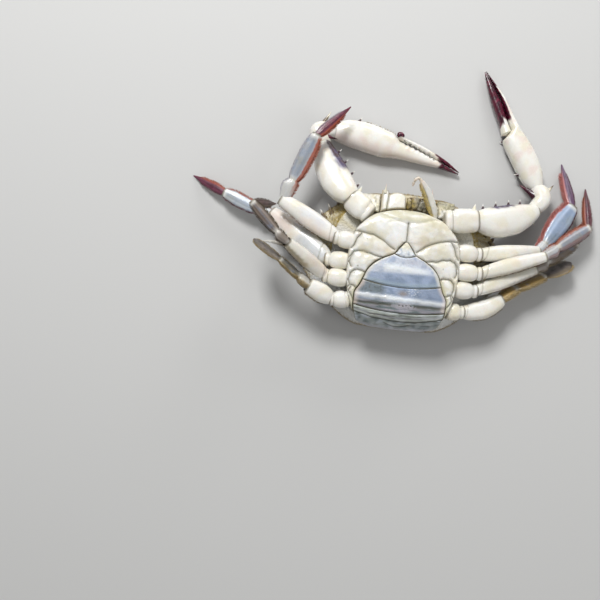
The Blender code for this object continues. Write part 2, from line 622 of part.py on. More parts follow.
def eye_shape(hand, grow=0.0):
    """A short stalk that lies in its socket, with the eye at its outer end."""
    points = [(9.5 * hand, 34.6, 13.6), (16.0 * hand, 35.0, 13.2), (22.4 * hand, 34.4, 12.8)]
    sections = [(0.0, 1.0, 1.0, 1.0, 1.0), (0.1, 1.5, 1.5, 1.5, 1.5), (0.5, 1.5, 1.5, 1.5, 1.5),
                (0.78, 2.5, 2.5, 2.4, 2.4), (0.95, 1.7, 1.7, 1.6, 1.6), (1.0, 0.6, 0.6, 0.6, 0.6)]
    return limb(points, sections, sides=10, rings=9, squareness=2.0, grow=grow)


def feeler_shape(hand, grow=0.0):
    """A short feeler, laid outwards along the front edge."""
    points = [(6.0 * hand, 33.6, 17.2), (10.0 * hand, 35.8, 17.0), (17.0 * hand, 36.4, 16.9),
              (25.0 * hand, 35.4, 16.4)]
    sections = [(0.0, 0.9, 0.9, 0.9, 0.9), (0.12, 1.1, 1.1, 1.1, 1.1), (0.3, 0.5, 0.5, 0.5, 0.5),
                (1.0, 0.28, 0.28, 0.28, 0.28)]
    return limb(points, sections, sides=6, rings=10, squareness=2.0, grow=grow)


def reach(start, end, before=ROOT_SINK, after=END_WRAP):
    """Lengthen a straight run at both ends."""
    start, end = Vector(start), Vector(end)
    ahead = (end - start).normalized()
    return tuple(start - ahead * before), tuple(end + ahead * after)


def hand_sections(side, first, last, part):
    """Sections of the palm or of the movable finger, between two shares of the hand's length."""
    rows = []
    count = 9
    for i in range(count):
        share = first + (last - first) * i / (count - 1)
        height, outer, meeting, other = [monotone(HAND_SECTIONS[side], share, c) for c in range(1, 5)]
        if part == "finger":
            low, high, height = meeting + GAP / 2, outer, height * 0.86
        else:
            open_share = min(max((share - FINGER_START + 0.04) / 0.05, 0.0), 1.0)
            low, high = -other, outer + (meeting - GAP / 2 - outer) * open_share
        forward, backward = (high, -low) if FINGER_SIDE[side] == 1 else (-low, high)
        rows.append((i / (count - 1), forward, backward, height, height))
    return rows


def hand_shapes(side, grow=0.0):
    """The palm with its fixed finger, and the movable finger."""
    root, tip = CHELIPED_JOINTS[side][4], CHELIPED_JOINTS[side][5]
    start = reach(root, tip, before=1.0, after=0.0)[0]
    palm_rows = []
    for share in (0.0, 0.03, 0.08, 0.15, 0.25, 0.35, 0.44, 0.47, 0.5, 0.53, 0.6, 0.7, 0.8, 0.9, 0.96, 1.0):
        palm_rows.append((share, *hand_sections(side, share, share + 0.001, "palm")[0][1:]))
    palm = limb([start, tip], palm_rows, hand=side, sides=12, shares=[row[0] for row in palm_rows],
                squareness=2.2, grow=grow)
    first = Vector(root).lerp(Vector(tip), FINGER_START - 0.02)
    finger_rows = hand_sections(side, FINGER_START - 0.02, 1.0, "finger")
    root_row = finger_rows[0]
    middle = (root_row[1] - root_row[2]) / 2
    finger_rows[0] = (0.0, middle + 0.9, -middle + 0.9, 1.6, 1.6)
    finger = limb([tuple(first), tip], finger_rows, hand=side, sides=10,
                  shares=[0.0, 0.04, 0.12, 0.3, 0.5, 0.7, 0.88, 1.0], squareness=2.2, grow=grow)
    return palm, finger


def side_spines(points, sections, hand, places, length, radius):
    """Spines on the forward edge of a segment, leaning to its tip."""
    spines = []
    for share in places:
        here = route(points, share)
        ahead = (route(points, min(share + 0.05, 1)) - route(points, share - 0.05)).normalized()
        forward = Vector((0, 0, 1)).cross(ahead).normalized() * hand
        edge = here + forward * monotone(sections, share)
        spines.append(spike(edge - forward * 2.2, edge + forward * length + ahead * length * 0.5, radius, 5))
    return spines


def build_limb(name, points, sections, hand, parent, colour, children, extras=(), **options):
    """Make one segment, fuse its spines and cut room for the roots of the next segments."""
    node = solid(name, limb(points, sections, hand=hand, **options), origin=points[0])
    if extras:
        join(node, list(extras))
    if children:
        cut(node, children)
    rest_on_floor(node)
    dress(node, colour, parent)
    return node


def cheliped(side, parent):
    """A claw-bearing leg. Returns the grown root that the body makes room for."""
    joints = CHELIPED_JOINTS[side]
    suffix = SIDE_NAMES[side]
    coxa = [joints[0], reach(joints[0], joints[1])[1]]
    merus = list(reach(joints[1], joints[2]))
    carpus = [reach(joints[2], joints[3], before=2.2)[0], joints[3],
              reach(joints[3], joints[4], after=1.0)[1]]
    palm, finger = hand_shapes(side)
    palm_room, finger_room = hand_shapes(side, GAP)
    options = {"sides": 12, "rings": 8}
    merus_room = limb(merus, CHELIPED_MERUS, hand=side, grow=GAP, **options)
    carpus_room = limb(carpus, CHELIPED_CARPUS, hand=side, grow=GAP, **options)
    ischium_spine = side_spines(coxa, CHELIPED_COXA, side, [0.86], 3.0, 1.6)
    build_limb("claw_coxa_" + suffix, coxa, CHELIPED_COXA, side, parent, "belly_shell", [merus_room],
               ischium_spine, **options)
    merus_spines = side_spines(merus, CHELIPED_MERUS, side, [0.18, 0.38, 0.58, 0.76], 2.9, 1.25)
    build_limb("claw_merus_" + suffix, merus, CHELIPED_MERUS, side, parent, "belly_shell", [carpus_room],
               merus_spines, **options)
    carpus_spines = [spike(root, tip, radius) for root, tip, radius in CARPUS_SPINES[side]]
    build_limb("claw_carpus_" + suffix, carpus, CHELIPED_CARPUS, side, parent, "belly_shell", [palm_room],
               carpus_spines, **options)
    palm_node = solid("claw_palm_" + suffix, palm, origin=joints[4])
    finger_node = solid("claw_finger_" + suffix, finger, origin=joints[4])
    palm_cuts = [finger_room]
    if side == RIGHT:
        join(finger_node, [limb(KNUCKLE, KNUCKLE_SECTIONS, rings=4)])
        palm_cuts.append(limb(KNUCKLE, KNUCKLE_SECTIONS, rings=4, grow=GAP))
    cut(palm_node, palm_cuts)
    rest_on_floor(palm_node)
    dress(palm_node, "belly_shell", parent)
    rest_on_floor(finger_node)
    dress(finger_node, "claw_tip", parent)
    return limb(coxa, CHELIPED_COXA, hand=side, grow=GAP, **options)


def scaled(sections, width):
    """Sections with their widths changed by a factor."""
    return [(row[0], row[1] * width, row[2] * width, row[3], row[4]) for row in sections]


def lower_leg_sections(number, side):
    """Sections of a leg's carpus and propodus."""
    if number == 5:
        return SWIM_LOWER_LEG
    if (number, side) == (2, LEFT):
        return BROAD_LOWER_LEG
    return scaled(LOWER_LEG, LOWER_WIDTH.get((number, side), 1.0))


def walking_leg(number, side, parent):
    """A walking or swimming leg in four nodes. Returns the grown shapes that the body makes room for."""
    joints = WALKING_JOINTS[(number, side)]
    suffix = "{}_{}".format(number, SIDE_NAMES[side])
    swimming = number == 5
    roll = math.radians(SWIM_ROLL[side]) if swimming else 0.0
    merus_sections = SWIM_MERUS if swimming else scaled(MERUS, MERUS_WIDTH.get((number, side), 0.98))
    lower_sections = lower_leg_sections(number, side)
    dactyl_sections = PADDLE if swimming else DACTYL
    coxa = [joints[0], reach(joints[0], joints[1])[1]]
    merus = list(reach(joints[1], joints[2]))
    if (number, side) == (5, LEFT):
        merus.insert(1, SWIM_MERUS_BEND)
    lower = [reach(joints[2], joints[3])[0], joints[3], reach(joints[3], joints[4])[1]]
    dactyl = [reach(joints[4], joints[5], before=1.4)[0], joints[5]]
    merus_room = limb(merus, merus_sections, hand=side, grow=GAP)
    rooms = [limb(coxa, COXA, hand=side, grow=GAP)] + ([merus_room] if swimming else [])
    lower_room = limb(lower, lower_sections, hand=side, rings=9, roll=roll, grow=GAP)
    dactyl_room = limb(dactyl, dactyl_sections, hand=side, rings=7, roll=roll, sides=8, grow=GAP)
    build_limb("leg_coxa_" + suffix, coxa, COXA, side, parent, "belly_shell", [merus_room])
    build_limb("leg_merus_" + suffix, merus, merus_sections, side, parent, "belly_shell", [lower_room])
    build_limb("leg_propodus_" + suffix, lower, lower_sections, side, parent,
               "paddle" if swimming else "leg_blue", [dactyl_room], rings=9, roll=roll)
    name = "paddle_" if swimming else "leg_dactyl_"
    build_limb(name + SIDE_NAMES[side] if swimming else name + suffix, dactyl, dactyl_sections, side, parent,
               "paddle" if swimming else "leg_red", [], rings=7, roll=roll, sides=8)
    return rooms


def body(parent, leg_rooms):
    """The back, the belly plates, the apron, the mouth, the eyes and the feelers."""
    open_foot_room = limb(OPEN_JAW_FOOT, OPEN_JAW_FOOT_SECTIONS, rings=9, grow=GAP)
    back = solid("carapace", back_shape())
    join(back, border_teeth() + back_tubercles() + [cheek(LEFT), cheek(RIGHT)])
    head_rooms = [shape(hand, GAP) for shape in (eye_shape, feeler_shape) for hand in (LEFT, RIGHT)]
    cut(back, leg_rooms + head_rooms + [open_foot_room])
    rest_on_floor(back)
    dress(back, "back_shell", parent)
    sternum = solid("sternum", sternum_shape())
    cut(sternum, leg_rooms + [apron_recess(), open_foot_room])
    dress(sternum, "belly_shell", parent)
    for name, front, rear, columns, rows in APRON_PLATES:
        dress(solid(name, apron_plate(front, rear, columns, rows)), "apron", parent)
    dress(solid("maxilliped_right", closed_jaw_foot()), "belly_shell", parent)
    mouth = solid("mouthparts", inner_mouth())
    cut(mouth, [open_foot_room])
    dress(mouth, "mouth", parent)
    foot = solid("maxilliped_left", limb(OPEN_JAW_FOOT, OPEN_JAW_FOOT_SECTIONS, rings=9))
    join(foot, [limb(PALP, PALP_SECTIONS, sides=8, rings=7), spike(*OUTER_BRANCH)])
    dress(foot, "belly_shell", parent)
    for hand in (LEFT, RIGHT):
        dress(solid("eye_" + SIDE_NAMES[hand], eye_shape(hand)), "eye", parent)
        dress(solid("antenna_" + SIDE_NAMES[hand], feeler_shape(hand)), "leg_red", parent)


def main():
    clear_scene()
    root = bpy.data.objects.new("gazami_crab", None)
    bpy.context.scene.collection.objects.link(root)
    rooms = []
    for side in (LEFT, RIGHT):
        rooms.append(cheliped(side, root))
        for number in (2, 3, 4, 5):
            rooms += walking_leg(number, side, root)
    body(root, rooms)


main()
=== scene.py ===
"""Looks of the gazami crab: its shell, legs, claws, mouth and hair, and the studio round it.

Lengths are millimetres in the frame of the CAD part and become metres when a mesh is made.
+X is the crab's left, +Y its head end and +Z its belly, which faces the camera.
"""

import math
from collections import namedtuple
from functools import partial

import bmesh
import bpy
import numpy as np
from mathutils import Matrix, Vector, noise


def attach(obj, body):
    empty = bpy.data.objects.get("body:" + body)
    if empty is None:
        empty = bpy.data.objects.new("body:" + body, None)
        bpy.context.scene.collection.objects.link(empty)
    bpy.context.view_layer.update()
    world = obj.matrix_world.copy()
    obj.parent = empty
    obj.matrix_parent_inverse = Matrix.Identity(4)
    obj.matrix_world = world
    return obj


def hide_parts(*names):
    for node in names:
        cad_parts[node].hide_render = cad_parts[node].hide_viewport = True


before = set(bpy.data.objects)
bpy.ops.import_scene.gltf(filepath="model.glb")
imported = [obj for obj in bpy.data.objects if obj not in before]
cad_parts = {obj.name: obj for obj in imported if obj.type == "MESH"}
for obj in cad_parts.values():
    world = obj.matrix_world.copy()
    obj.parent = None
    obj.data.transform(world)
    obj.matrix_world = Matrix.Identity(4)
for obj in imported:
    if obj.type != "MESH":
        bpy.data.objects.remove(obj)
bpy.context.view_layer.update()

MM = 0.001
LEFT, RIGHT = 1, -1
SIDE_NAMES = {LEFT: "left", RIGHT: "right"}
SEED = 7

# The photograph: camera above the board, looking straight down, turned a little
CAMERA_PLACE = (-54.4, -27.9, 520.0)
CAMERA_TURN = math.radians(6.5)
HALF_PICTURE_AT = (168.0, 500.0)


def rgb(*values):
    return np.array(values)


# Colours, in linear RGB
WHITE = rgb(0.86, 0.845, 0.79)
CREAM = rgb(0.79, 0.755, 0.61)
COOL_WHITE = rgb(0.90, 0.91, 0.92)
OLIVE = rgb(0.20, 0.175, 0.085)
DARK_OLIVE = rgb(0.075, 0.062, 0.034)
PALE_OLIVE = rgb(0.46, 0.43, 0.28)
MEMBRANE = rgb(0.13, 0.105, 0.055)
TAN = rgb(0.44, 0.34, 0.17)
YELLOW = rgb(0.62, 0.49, 0.16)
BACK = rgb(0.085, 0.064, 0.042)
BACK_PURPLE = rgb(0.075, 0.040, 0.060)
BACK_SPOT = rgb(0.46, 0.42, 0.30)
MAROON = rgb(0.095, 0.006, 0.022)
DEEP_MAROON = rgb(0.040, 0.004, 0.014)
PURPLE = rgb(0.050, 0.030, 0.115)
PINK = rgb(0.80, 0.63, 0.58)
LEG_BLUE = rgb(0.44, 0.485, 0.55)
KEEL_BLUE = rgb(0.20, 0.27, 0.40)
PALE_BLUE = rgb(0.66, 0.71, 0.78)
RUST = rgb(0.42, 0.085, 0.035)
RUST_ORANGE = rgb(0.36, 0.075, 0.028)
RUST_BROWN = rgb(0.30, 0.075, 0.030)
DUSTY_PINK = rgb(0.50, 0.175, 0.155)
BLADE_BLUE = rgb(0.31, 0.39, 0.53)
GREY_BROWN = rgb(0.165, 0.130, 0.110)
PINK_BROWN = rgb(0.20, 0.095, 0.085)
BROWN = rgb(0.16, 0.115, 0.070)
# yellow-green of the painted shade beside the apron
YELLOW_GREEN_SHADE = rgb(0.56, 0.53, 0.24)
FRONT_CREAM = rgb(0.64, 0.61, 0.43)
# grey of the chest's furrow lines and of the painted shade beside them
GROOVE_LINE_AND_SHADE = rgb(0.21, 0.20, 0.14)
GREY = rgb(0.125, 0.105, 0.095)
APRON_BLUE = rgb(0.34, 0.415, 0.565)
APRON_DARK = rgb(0.235, 0.30, 0.42)
APRON_LIGHT = rgb(0.62, 0.67, 0.77)
APRON_WHITE = rgb(0.84, 0.88, 0.91)
APRON_TEAL = rgb(0.34, 0.43, 0.49)
APRON_GREEN = rgb(0.19, 0.235, 0.245)
APRON_OLIVE = rgb(0.085, 0.088, 0.058)
LILAC_GREY = rgb(0.42, 0.41, 0.46)
BASE_GREY = rgb(0.36, 0.40, 0.405)
BASE_PALE = rgb(0.56, 0.60, 0.53)
PEACH = rgb(0.58, 0.43, 0.28)
BEIGE = rgb(0.62, 0.56, 0.40)
BLACK = rgb(0.012, 0.009, 0.009)


def curve(rows, places):
    """Read every column of a table at many places, on smooth curves that never overshoot."""
    rows = np.asarray(rows, float)
    xs, ys = rows[:, 0], rows[:, 1:]
    widths = np.diff(xs)[:, None]
    slopes = np.diff(ys, axis=0) / widths
    before, after = slopes[:-1], slopes[1:]
    same = before * after > 0
    inner = np.where(same, 2 * before * after / np.where(same, before + after, 1.0), 0.0)
    tangents = np.vstack([slopes[:1], inner, slopes[-1:]])
    places = np.clip(np.atleast_1d(places), xs[0], xs[-1])
    cell = np.clip(np.searchsorted(xs, places, side="right") - 1, 0, len(xs) - 2)
    width = widths[cell]
    t = (places - xs[cell])[..., None] / width
    return ((2 * t ** 3 - 3 * t ** 2 + 1) * ys[cell] + (t ** 3 - 2 * t ** 2 + t) * width * tangents[cell]
            + (3 * t ** 2 - 2 * t ** 3) * ys[cell + 1] + (t ** 3 - t ** 2) * width * tangents[cell + 1])


def mirrored(points, hand):
    return [(x * hand, y, z) for x, y, z in points]


def along(points):
    """Give each point of a route its share of the length, and the length."""
    points = np.asarray(points, float)
    runs = np.linalg.norm(np.diff(points, axis=0), axis=1)
    shares = np.concatenate([[0.0], np.cumsum(runs)])
    return np.column_stack([shares / shares[-1], points]), shares[-1]


def unit(vectors):
    return vectors / np.linalg.norm(vectors, axis=-1, keepdims=True)


def smooth(low, high, value):
    """Rise from 0 at low to 1 at high with soft ends; low may be above high."""
    t = np.clip((value - low) / (high - low), 0.0, 1.0)
    return t * t * (3 - 2 * t)


def bell(value, width, power=2):
    """A soft peak of 1 where the value is 0."""
    return np.exp(-(value / width) ** power)


def window(value, low, high, soft):
    return smooth(low - soft, low + soft, value) * smooth(high + soft, high - soft, value)


def mix(first, second, share):
    share = np.asarray(share)[..., None]
    return first * (1 - share) + second * share


def ripple(places, size, seed=0.0):
    """Smooth noise, from about -1 to 1, with bumps of this size."""
    flat = places.reshape(-1, 3) / size + seed
    return np.array([noise.noise(place) for place in flat.tolist()]).reshape(places.shape[:-1])


def cloud(low, high, places, size, seed=0.0):
    """Patches of noise: 0 where it is below low, 1 where it is above high."""
    return smooth(low, high, ripple(places, size, seed))


def unit_grid(columns, rows):
    """Sheet coordinates: u from -1 to 1 across, v from 0 to 1 along."""
    return np.meshgrid(np.linspace(-1, 1, columns), np.linspace(0, 1, rows))


def raised(x, y, z):
    """Points over a ground plan at a height, which may be one number."""
    return np.dstack(np.broadcast_arrays(x, y, z))


def layered(tint, *layers):
    """Lay colours over a tint, each as strongly as its share says."""
    for colour, share in layers:
        tint = mix(tint, colour, share)
    return tint


def line_distance(line, x, y):
    """Distance from points to a line of straight runs."""
    best = np.full(np.shape(x), 1e9)
    for (ax, ay), (bx, by) in zip(line, line[1:]):
        dx, dy = bx - ax, by - ay
        t = np.clip(((x - ax) * dx + (y - ay) * dy) / (dx * dx + dy * dy), 0, 1)
        best = np.minimum(best, np.hypot(x - ax - t * dx, y - ay - t * dy))
    return best


def nearest_line(lines, x, y):
    return np.min([line_distance(line, x, y) for line in lines], axis=0)


def blot(x, y, middle, size):
    """A soft patch of this half-size round a point."""
    return np.exp(-((x - middle[0]) / size[0]) ** 2 - ((y - middle[1]) / size[1]) ** 2)


class Skin:
    """Rings of surface points, closed round, each point with a colour."""

    def __init__(self, grid, tint, ahead=None, shares=None):
        self.grid, self.ahead, self.shares = grid, ahead, shares
        self.tint = np.broadcast_to(tint, grid.shape)

    def mesh(self):
        """Points, faces and colours, with a point in the middle of each end."""
        rings, sides = self.grid.shape[:2]
        index = np.arange(rings * sides).reshape(rings, sides)
        ahead = np.roll(index, -1, axis=1)
        faces = np.stack([index[:-1], ahead[:-1], ahead[1:], index[1:]], axis=-1).reshape(-1, 4).tolist()
        ends = np.stack([self.grid[0].mean(axis=0), self.grid[-1].mean(axis=0)])
        for level, middle in ((0, rings * sides), (rings - 1, rings * sides + 1)):
            faces += [(a, b, middle) for a, b in zip(index[level].tolist(), ahead[level].tolist())]
        points = np.vstack([self.grid.reshape(-1, 3), ends])
        tints = np.vstack([self.tint.reshape(-1, 3), self.tint[0].mean(axis=0), self.tint[-1].mean(axis=0)])
        return points, faces, tints


class Sheet:
    """A closed slab between a top sheet of points and a bottom straight under it."""

    def __init__(self, top, bottom_z, tint):
        self.top, self.tint = top, np.broadcast_to(tint, top.shape)
        self.bottom = raised(top[..., 0], top[..., 1], bottom_z)

    def mesh(self):
        rows, columns = self.top.shape[:2]
        index = np.arange(rows * columns).reshape(rows, columns)
        cells = np.stack([index[:-1, :-1], index[:-1, 1:], index[1:, 1:], index[1:, :-1]], axis=-1)
        cells = cells.reshape(-1, 4)
        rim = np.concatenate([index[0], index[1:, -1], index[-1, -2::-1], index[-2:0:-1, 0]])
        after = np.roll(rim, -1)
        below = rows * columns
        walls = np.stack([rim, after, after + below, rim + below], axis=-1)
        faces = cells.tolist() + (cells[:, ::-1] + below).tolist() + walls.tolist()
        points = np.vstack([self.top.reshape(-1, 3), self.bottom.reshape(-1, 3)])
        tints = np.vstack([self.tint.reshape(-1, 3)] * 2)
        return points, faces, tints


def rounded(angle, squareness):
    """A point of a rounded square, where squareness 2 is a circle."""
    c, s = np.cos(angle), np.sin(angle)
    power = 2 / squareness
    return np.sign(c) * np.abs(c) ** power, np.sign(s) * np.abs(s) ** power


# The lip round the end of a segment and the cup inside it: scale of the last ring and way back
CUP_RINGS = ((0.975, 0.22), (0.91, 0.30), (0.85, 0.05), (0.80, -1.0), (0.70, -2.8))
NECK_LENGTH = 4.2


def limb(points, sections, sides, step, hand=LEFT, roll=0.0, squareness=2.3, neck=0.0, cup=False,
         relief=None, paint=None):
    """Loft a leg segment along a route, with its forward side on the crab's front.

    Sections are share, half-width forward and backward, half-height up and down. relief and paint are
    called with the share, the angle round it from the forward side up, and the places.
    """
    rows, length = along(points)
    count = max(int(length / step), 10)
    steady = np.linspace(0, 1, count)
    shares = 0.5 * steady + 0.25 * (1 - np.cos(np.pi * steady))
    centres = curve(rows, shares)
    ahead = unit(curve(rows, np.minimum(shares + 0.02, 1)) - curve(rows, np.maximum(shares - 0.02, 0)))
    up = unit(np.array((0.0, 0.0, 1.0)) - ahead * ahead[:, 2:3])
    up = up * math.cos(roll) + np.cross(ahead, up) * math.sin(roll)
    forward = np.cross(up, ahead) * hand
    front, back, top, bottom = curve(sections, shares).T[:4, :, None]
    centres = centres + forward * (front - back) / 2 + up * (top - bottom) / 2
    distance = shares[:, None] * length
    width = 1 - neck * bell(distance, NECK_LENGTH)
    angles = 2 * np.pi * (np.arange(sides) + 0.5) / sides
    c, s = rounded(angles, squareness)
    out = (forward[:, None] * (c * (front + back) / 2 * width)[..., None]
           + up[:, None] * (s * (top + bottom) / 2 * width)[..., None])
    share, angle = np.broadcast_arrays(shares[:, None], angles[None])
    grid = centres[:, None] + out
    if relief:
        grid = grid + unit(out) * relief(share, angle, grid)[..., None]
    tint = paint(share, angle, grid) if paint else np.broadcast_to(WHITE, grid.shape)
    edge = smooth(1.2, 0.2, (1 - share) * length) if cup else np.zeros(share.shape)
    edge = np.maximum(edge, smooth(2.2, 0.8, share * length) if neck else 0.0)
    tint = mix(tint, MEMBRANE, 0.75 * edge)
    if cup:
        middle, last = grid[-1].mean(axis=0), grid[-1]
        inner = [middle + (last - middle) * scale + ahead[-1] * offset for scale, offset in CUP_RINGS]
        grid = np.concatenate([grid, inner])
        tint = np.concatenate([tint, np.broadcast_to(MEMBRANE * 0.7, (len(CUP_RINGS), sides, 3))])
    return Skin(grid, tint, ahead, shares)


def even(*rows):
    """Sections as wide forward as backward: share, half-width, half-height up, and down if it differs."""
    return [(share, width, width, heights[0], heights[-1]) for share, width, *heights in rows]


SPIKE_PROFILE = ((0.0, 1.15), (0.14, 1.06), (0.3, 0.78), (0.5, 0.53), (0.75, 0.28), (0.92, 0.12),
                 (1.0, 0.03))


def spike(root, tip, radius, base_tint=WHITE, tip_tint=WHITE, sides=14):
    """A spine with a flared root that is sunk in what it grows from."""
    root, tip = np.asarray(root, float), np.asarray(tip, float)
    ahead = unit(tip - root)
    across = unit(np.cross(ahead, (0.31, 0.52, 0.79)))
    other = np.cross(ahead, across)
    shares = np.linspace(0, 1, 12)
    radii = curve(SPIKE_PROFILE, shares) * radius
    angles = 2 * np.pi * np.arange(sides) / sides
    ring = across * np.cos(angles)[:, None] + other * np.sin(angles)[:, None]
    grid = (root + (tip - root) * shares[:, None])[:, None] + ring * radii[:, None]
    tint = np.broadcast_to(mix(base_tint, tip_tint, smooth(0.55, 0.85, shares))[:, None], grid.shape)
    return Skin(grid, tint)


# Materials

def new_material(name):
    made = bpy.data.materials.new(name)
    made.use_nodes = True
    tree = made.node_tree
    return made, tree, tree.nodes["Principled BSDF"]


def add(tree, kind, **settings):
    """Add a node with its own settings and the values of its sockets, with _ for a space."""
    node = tree.nodes.new(kind)
    for key, value in settings.items():
        if hasattr(node, key):
            setattr(node, key, value)
        else:
            node.inputs[key.replace("_", " ")].default_value = value
    return node


def noise_node(tree, size, detail=3.0, roughness=0.55):
    """Noise in object space with features of about this many millimetres."""
    place = tree.nodes.get("place") or add(tree, "ShaderNodeTexCoord", name="place")
    made = add(tree, "ShaderNodeTexNoise", Scale=1 / (size * MM), Detail=detail, Roughness=roughness)
    tree.links.new(place.outputs["Object"], made.inputs["Vector"])
    return made


def ranged(tree, source, low, high, to_low=0.0, to_high=1.0):
    made = add(tree, "ShaderNodeMapRange", From_Min=low, From_Max=high, To_Min=to_low, To_Max=to_high)
    tree.links.new(source, made.inputs["Value"])
    return made.outputs["Result"]


def tinted(tree, colour, factor, tone):
    """Multiply a colour by a tone where the factor is high."""
    made = add(tree, "ShaderNodeMix", data_type="RGBA", blend_type="MULTIPLY")
    tree.links.new(factor, made.inputs["Factor"])
    tree.links.new(colour, made.inputs[6])
    made.inputs[7].default_value = (*tone, 1.0)
    return made.outputs[2]


def shell_material(name, warm=0.5, cool=0.35, speck=0.35, rough=(0.22, 0.42), grain=0.25, grain_size=0.7,
                   pits=0.15, coat=0.35, subsurface=0.06):
    """Wet shell: the painted colour with mottling, specks, fine grain and a clear gloss."""
    made, tree, shader = new_material(name)
    colour = add(tree, "ShaderNodeVertexColor", layer_name="tint").outputs["Color"]
    blotches = noise_node(tree, 9.0, 4.0, 0.6).outputs["Fac"]
    clouds = noise_node(tree, 4.2, 3.0, 0.65).outputs["Fac"]
    fine = noise_node(tree, 0.9, 3.0, 0.6).outputs["Fac"]
    colour = tinted(tree, colour, ranged(tree, blotches, 0.45, 0.75, 0.0, warm), (0.97, 0.90, 0.74))
    colour = tinted(tree, colour, ranged(tree, clouds, 0.52, 0.78, 0.0, cool), (0.84, 0.90, 0.98))
    colour = tinted(tree, colour, ranged(tree, fine, 0.56, 0.72, 0.0, speck), (0.82, 0.78, 0.70))
    tree.links.new(colour, shader.inputs["Base Color"])
    tree.links.new(ranged(tree, clouds, 0.3, 0.75, *rough), shader.inputs["Roughness"])
    cells = add(tree, "ShaderNodeTexVoronoi", Scale=1 / (grain_size * MM))
    tree.links.new(tree.nodes["place"].outputs["Object"], cells.inputs["Vector"])
    height = add(tree, "ShaderNodeMath", operation="MULTIPLY_ADD")
    tree.links.new(ranged(tree, cells.outputs["Distance"], 0.0, 0.7, pits, 0.0), height.inputs[0])
    height.inputs[1].default_value = 1.0
    tree.links.new(fine, height.inputs[2])
    bump = add(tree, "ShaderNodeBump", Strength=grain, Distance=0.35 * MM)
    tree.links.new(height.outputs["Value"], bump.inputs["Height"])
    tree.links.new(bump.outputs["Normal"], shader.inputs["Normal"])
    shader.inputs["Coat Weight"].default_value = coat
    shader.inputs["Coat Roughness"].default_value = 0.12
    shader.inputs["Subsurface Weight"].default_value = subsurface
    shader.inputs["Subsurface Radius"].default_value = (1.0, 0.6, 0.35)
    shader.inputs["Subsurface Scale"].default_value = 2.0 * MM
    return made


def hair_material(name):
    made, tree, shader = new_material(name)
    colour = add(tree, "ShaderNodeVertexColor", layer_name="tint").outputs["Color"]
    patches = noise_node(tree, 3.0, 2.0).outputs["Fac"]
    colour = tinted(tree, colour, ranged(tree, patches, 0.45, 0.7, 0.0, 0.6), (0.72, 0.62, 0.50))
    tree.links.new(colour, shader.inputs["Base Color"])
    tree.links.new(ranged(tree, patches, 0.3, 0.7, 0.45, 0.65), shader.inputs["Roughness"])
    return made


def floor_material():
    made, _, shader = new_material("studio_floor")
    shader.inputs["Base Color"].default_value = (0.62, 0.62, 0.61, 1.0)
    shader.inputs["Roughness"].default_value = 0.7
    return made


SHARP_ANGLE = math.radians(62)
LOOKS = {
    "shell": shell_material("shell_belly"),
    "back": shell_material("shell_back", warm=0.3, cool=0.2, speck=0.8, rough=(0.32, 0.55), grain=0.9,
                           grain_size=1.1, pits=0.9, coat=0.2, subsurface=0.0),
    "apron": shell_material("shell_apron", warm=0.35, cool=0.5, speck=0.5, rough=(0.26, 0.46), grain=0.5,
                            coat=0.3, subsurface=0.04),
    "claw": shell_material("shell_claw", warm=0.25, cool=0.12, speck=0.15, rough=(0.18, 0.34), grain=0.16,
                           coat=0.5),
    "leg": shell_material("shell_leg", warm=0.4, cool=0.4, speck=0.45, rough=(0.24, 0.44), grain=0.35),
    "mouth": shell_material("mouth_parts", warm=0.7, cool=0.1, speck=0.7, rough=(0.25, 0.5), grain=0.7,
                            pits=0.5, subsurface=0.1),
    "eye": shell_material("eye_gloss", warm=0.1, cool=0.1, speck=0.3, rough=(0.05, 0.14), grain=0.05,
                          coat=0.9, subsurface=0.0),
    "hair": hair_material("fringe_hair"),
}


def piece(name, parts, nodes, look):
    """Join parts into one mesh object that stands for the nodes, if there are any."""
    points, faces, tints, start = [], [], [], 0
    for part in parts:
        some_points, some_faces, some_tints = part.mesh()
        points.append(some_points)
        tints.append(some_tints)
        faces += [tuple(i + start for i in face) for face in some_faces]
        start += len(some_points)
    mesh = bpy.data.meshes.new(name)
    mesh.from_pydata((np.vstack(points) * MM).tolist(), [], faces)
    colours = np.column_stack([np.clip(np.vstack(tints), 0, 1), np.ones(start)])
    layer = mesh.color_attributes.new("tint", "FLOAT_COLOR", "POINT")
    layer.data.foreach_set("color", colours.astype(np.float32).ravel())
    work = bmesh.new()
    work.from_mesh(mesh)
    bmesh.ops.recalc_face_normals(work, faces=work.faces)
    work.to_mesh(mesh)
    work.free()
    mesh.shade_smooth()
    mesh.set_sharp_from_angle(angle=SHARP_ANGLE)
    mesh.materials.append(LOOKS[look])
    made = bpy.data.objects.new(name, mesh)
    bpy.context.scene.collection.objects.link(made)
    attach(made, "root")
    if nodes:
        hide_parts(*nodes)
    return made


def dress(kind, suffix, parts, look="claw"):
    """Make the mesh that stands for one node, whose name is its kind and a suffix."""
    piece("{}_shell_{}".format(kind, suffix), parts, ["{}_{}".format(kind, suffix)], look)


# The back shell, its walls and its teeth

FRONT_Y, REAR_Y = 38.6, -38.4
BODY_HALF_WIDTH = 57.5
SPINE_SPAN = 160.0
MARGIN_Z, WALL_TOP_Z = 11.4, 19.4
BACK_OUTLINE = [
    (0.0, FRONT_Y), (9.0, 38.0), (15.0, 36.6), (20.0, 34.4), (25.5, 34.8), (33.0, 31.8), (41.0, 27.0),
    (48.5, 20.2), (54.0, 12.2), (57.2, 4.0), (BODY_HALF_WIDTH, -2.0), (54.0, -10.0), (47.0, -19.0),
    (38.0, -27.5), (29.0, -34.4), (21.0, -37.6), (11.0, -38.2), (0.0, REAR_Y),
]
WALL_OUTLINE = [
    (0.0, 33.5), (12.0, 33.0), (22.0, 31.5), (31.0, 27.0), (37.0, 20.0), (39.5, 11.0), (40.0, 2.0),
    (38.0, -7.0), (34.0, -17.0), (29.5, -25.0), (25.0, -31.0), (16.0, -34.0), (0.0, -34.5),
]
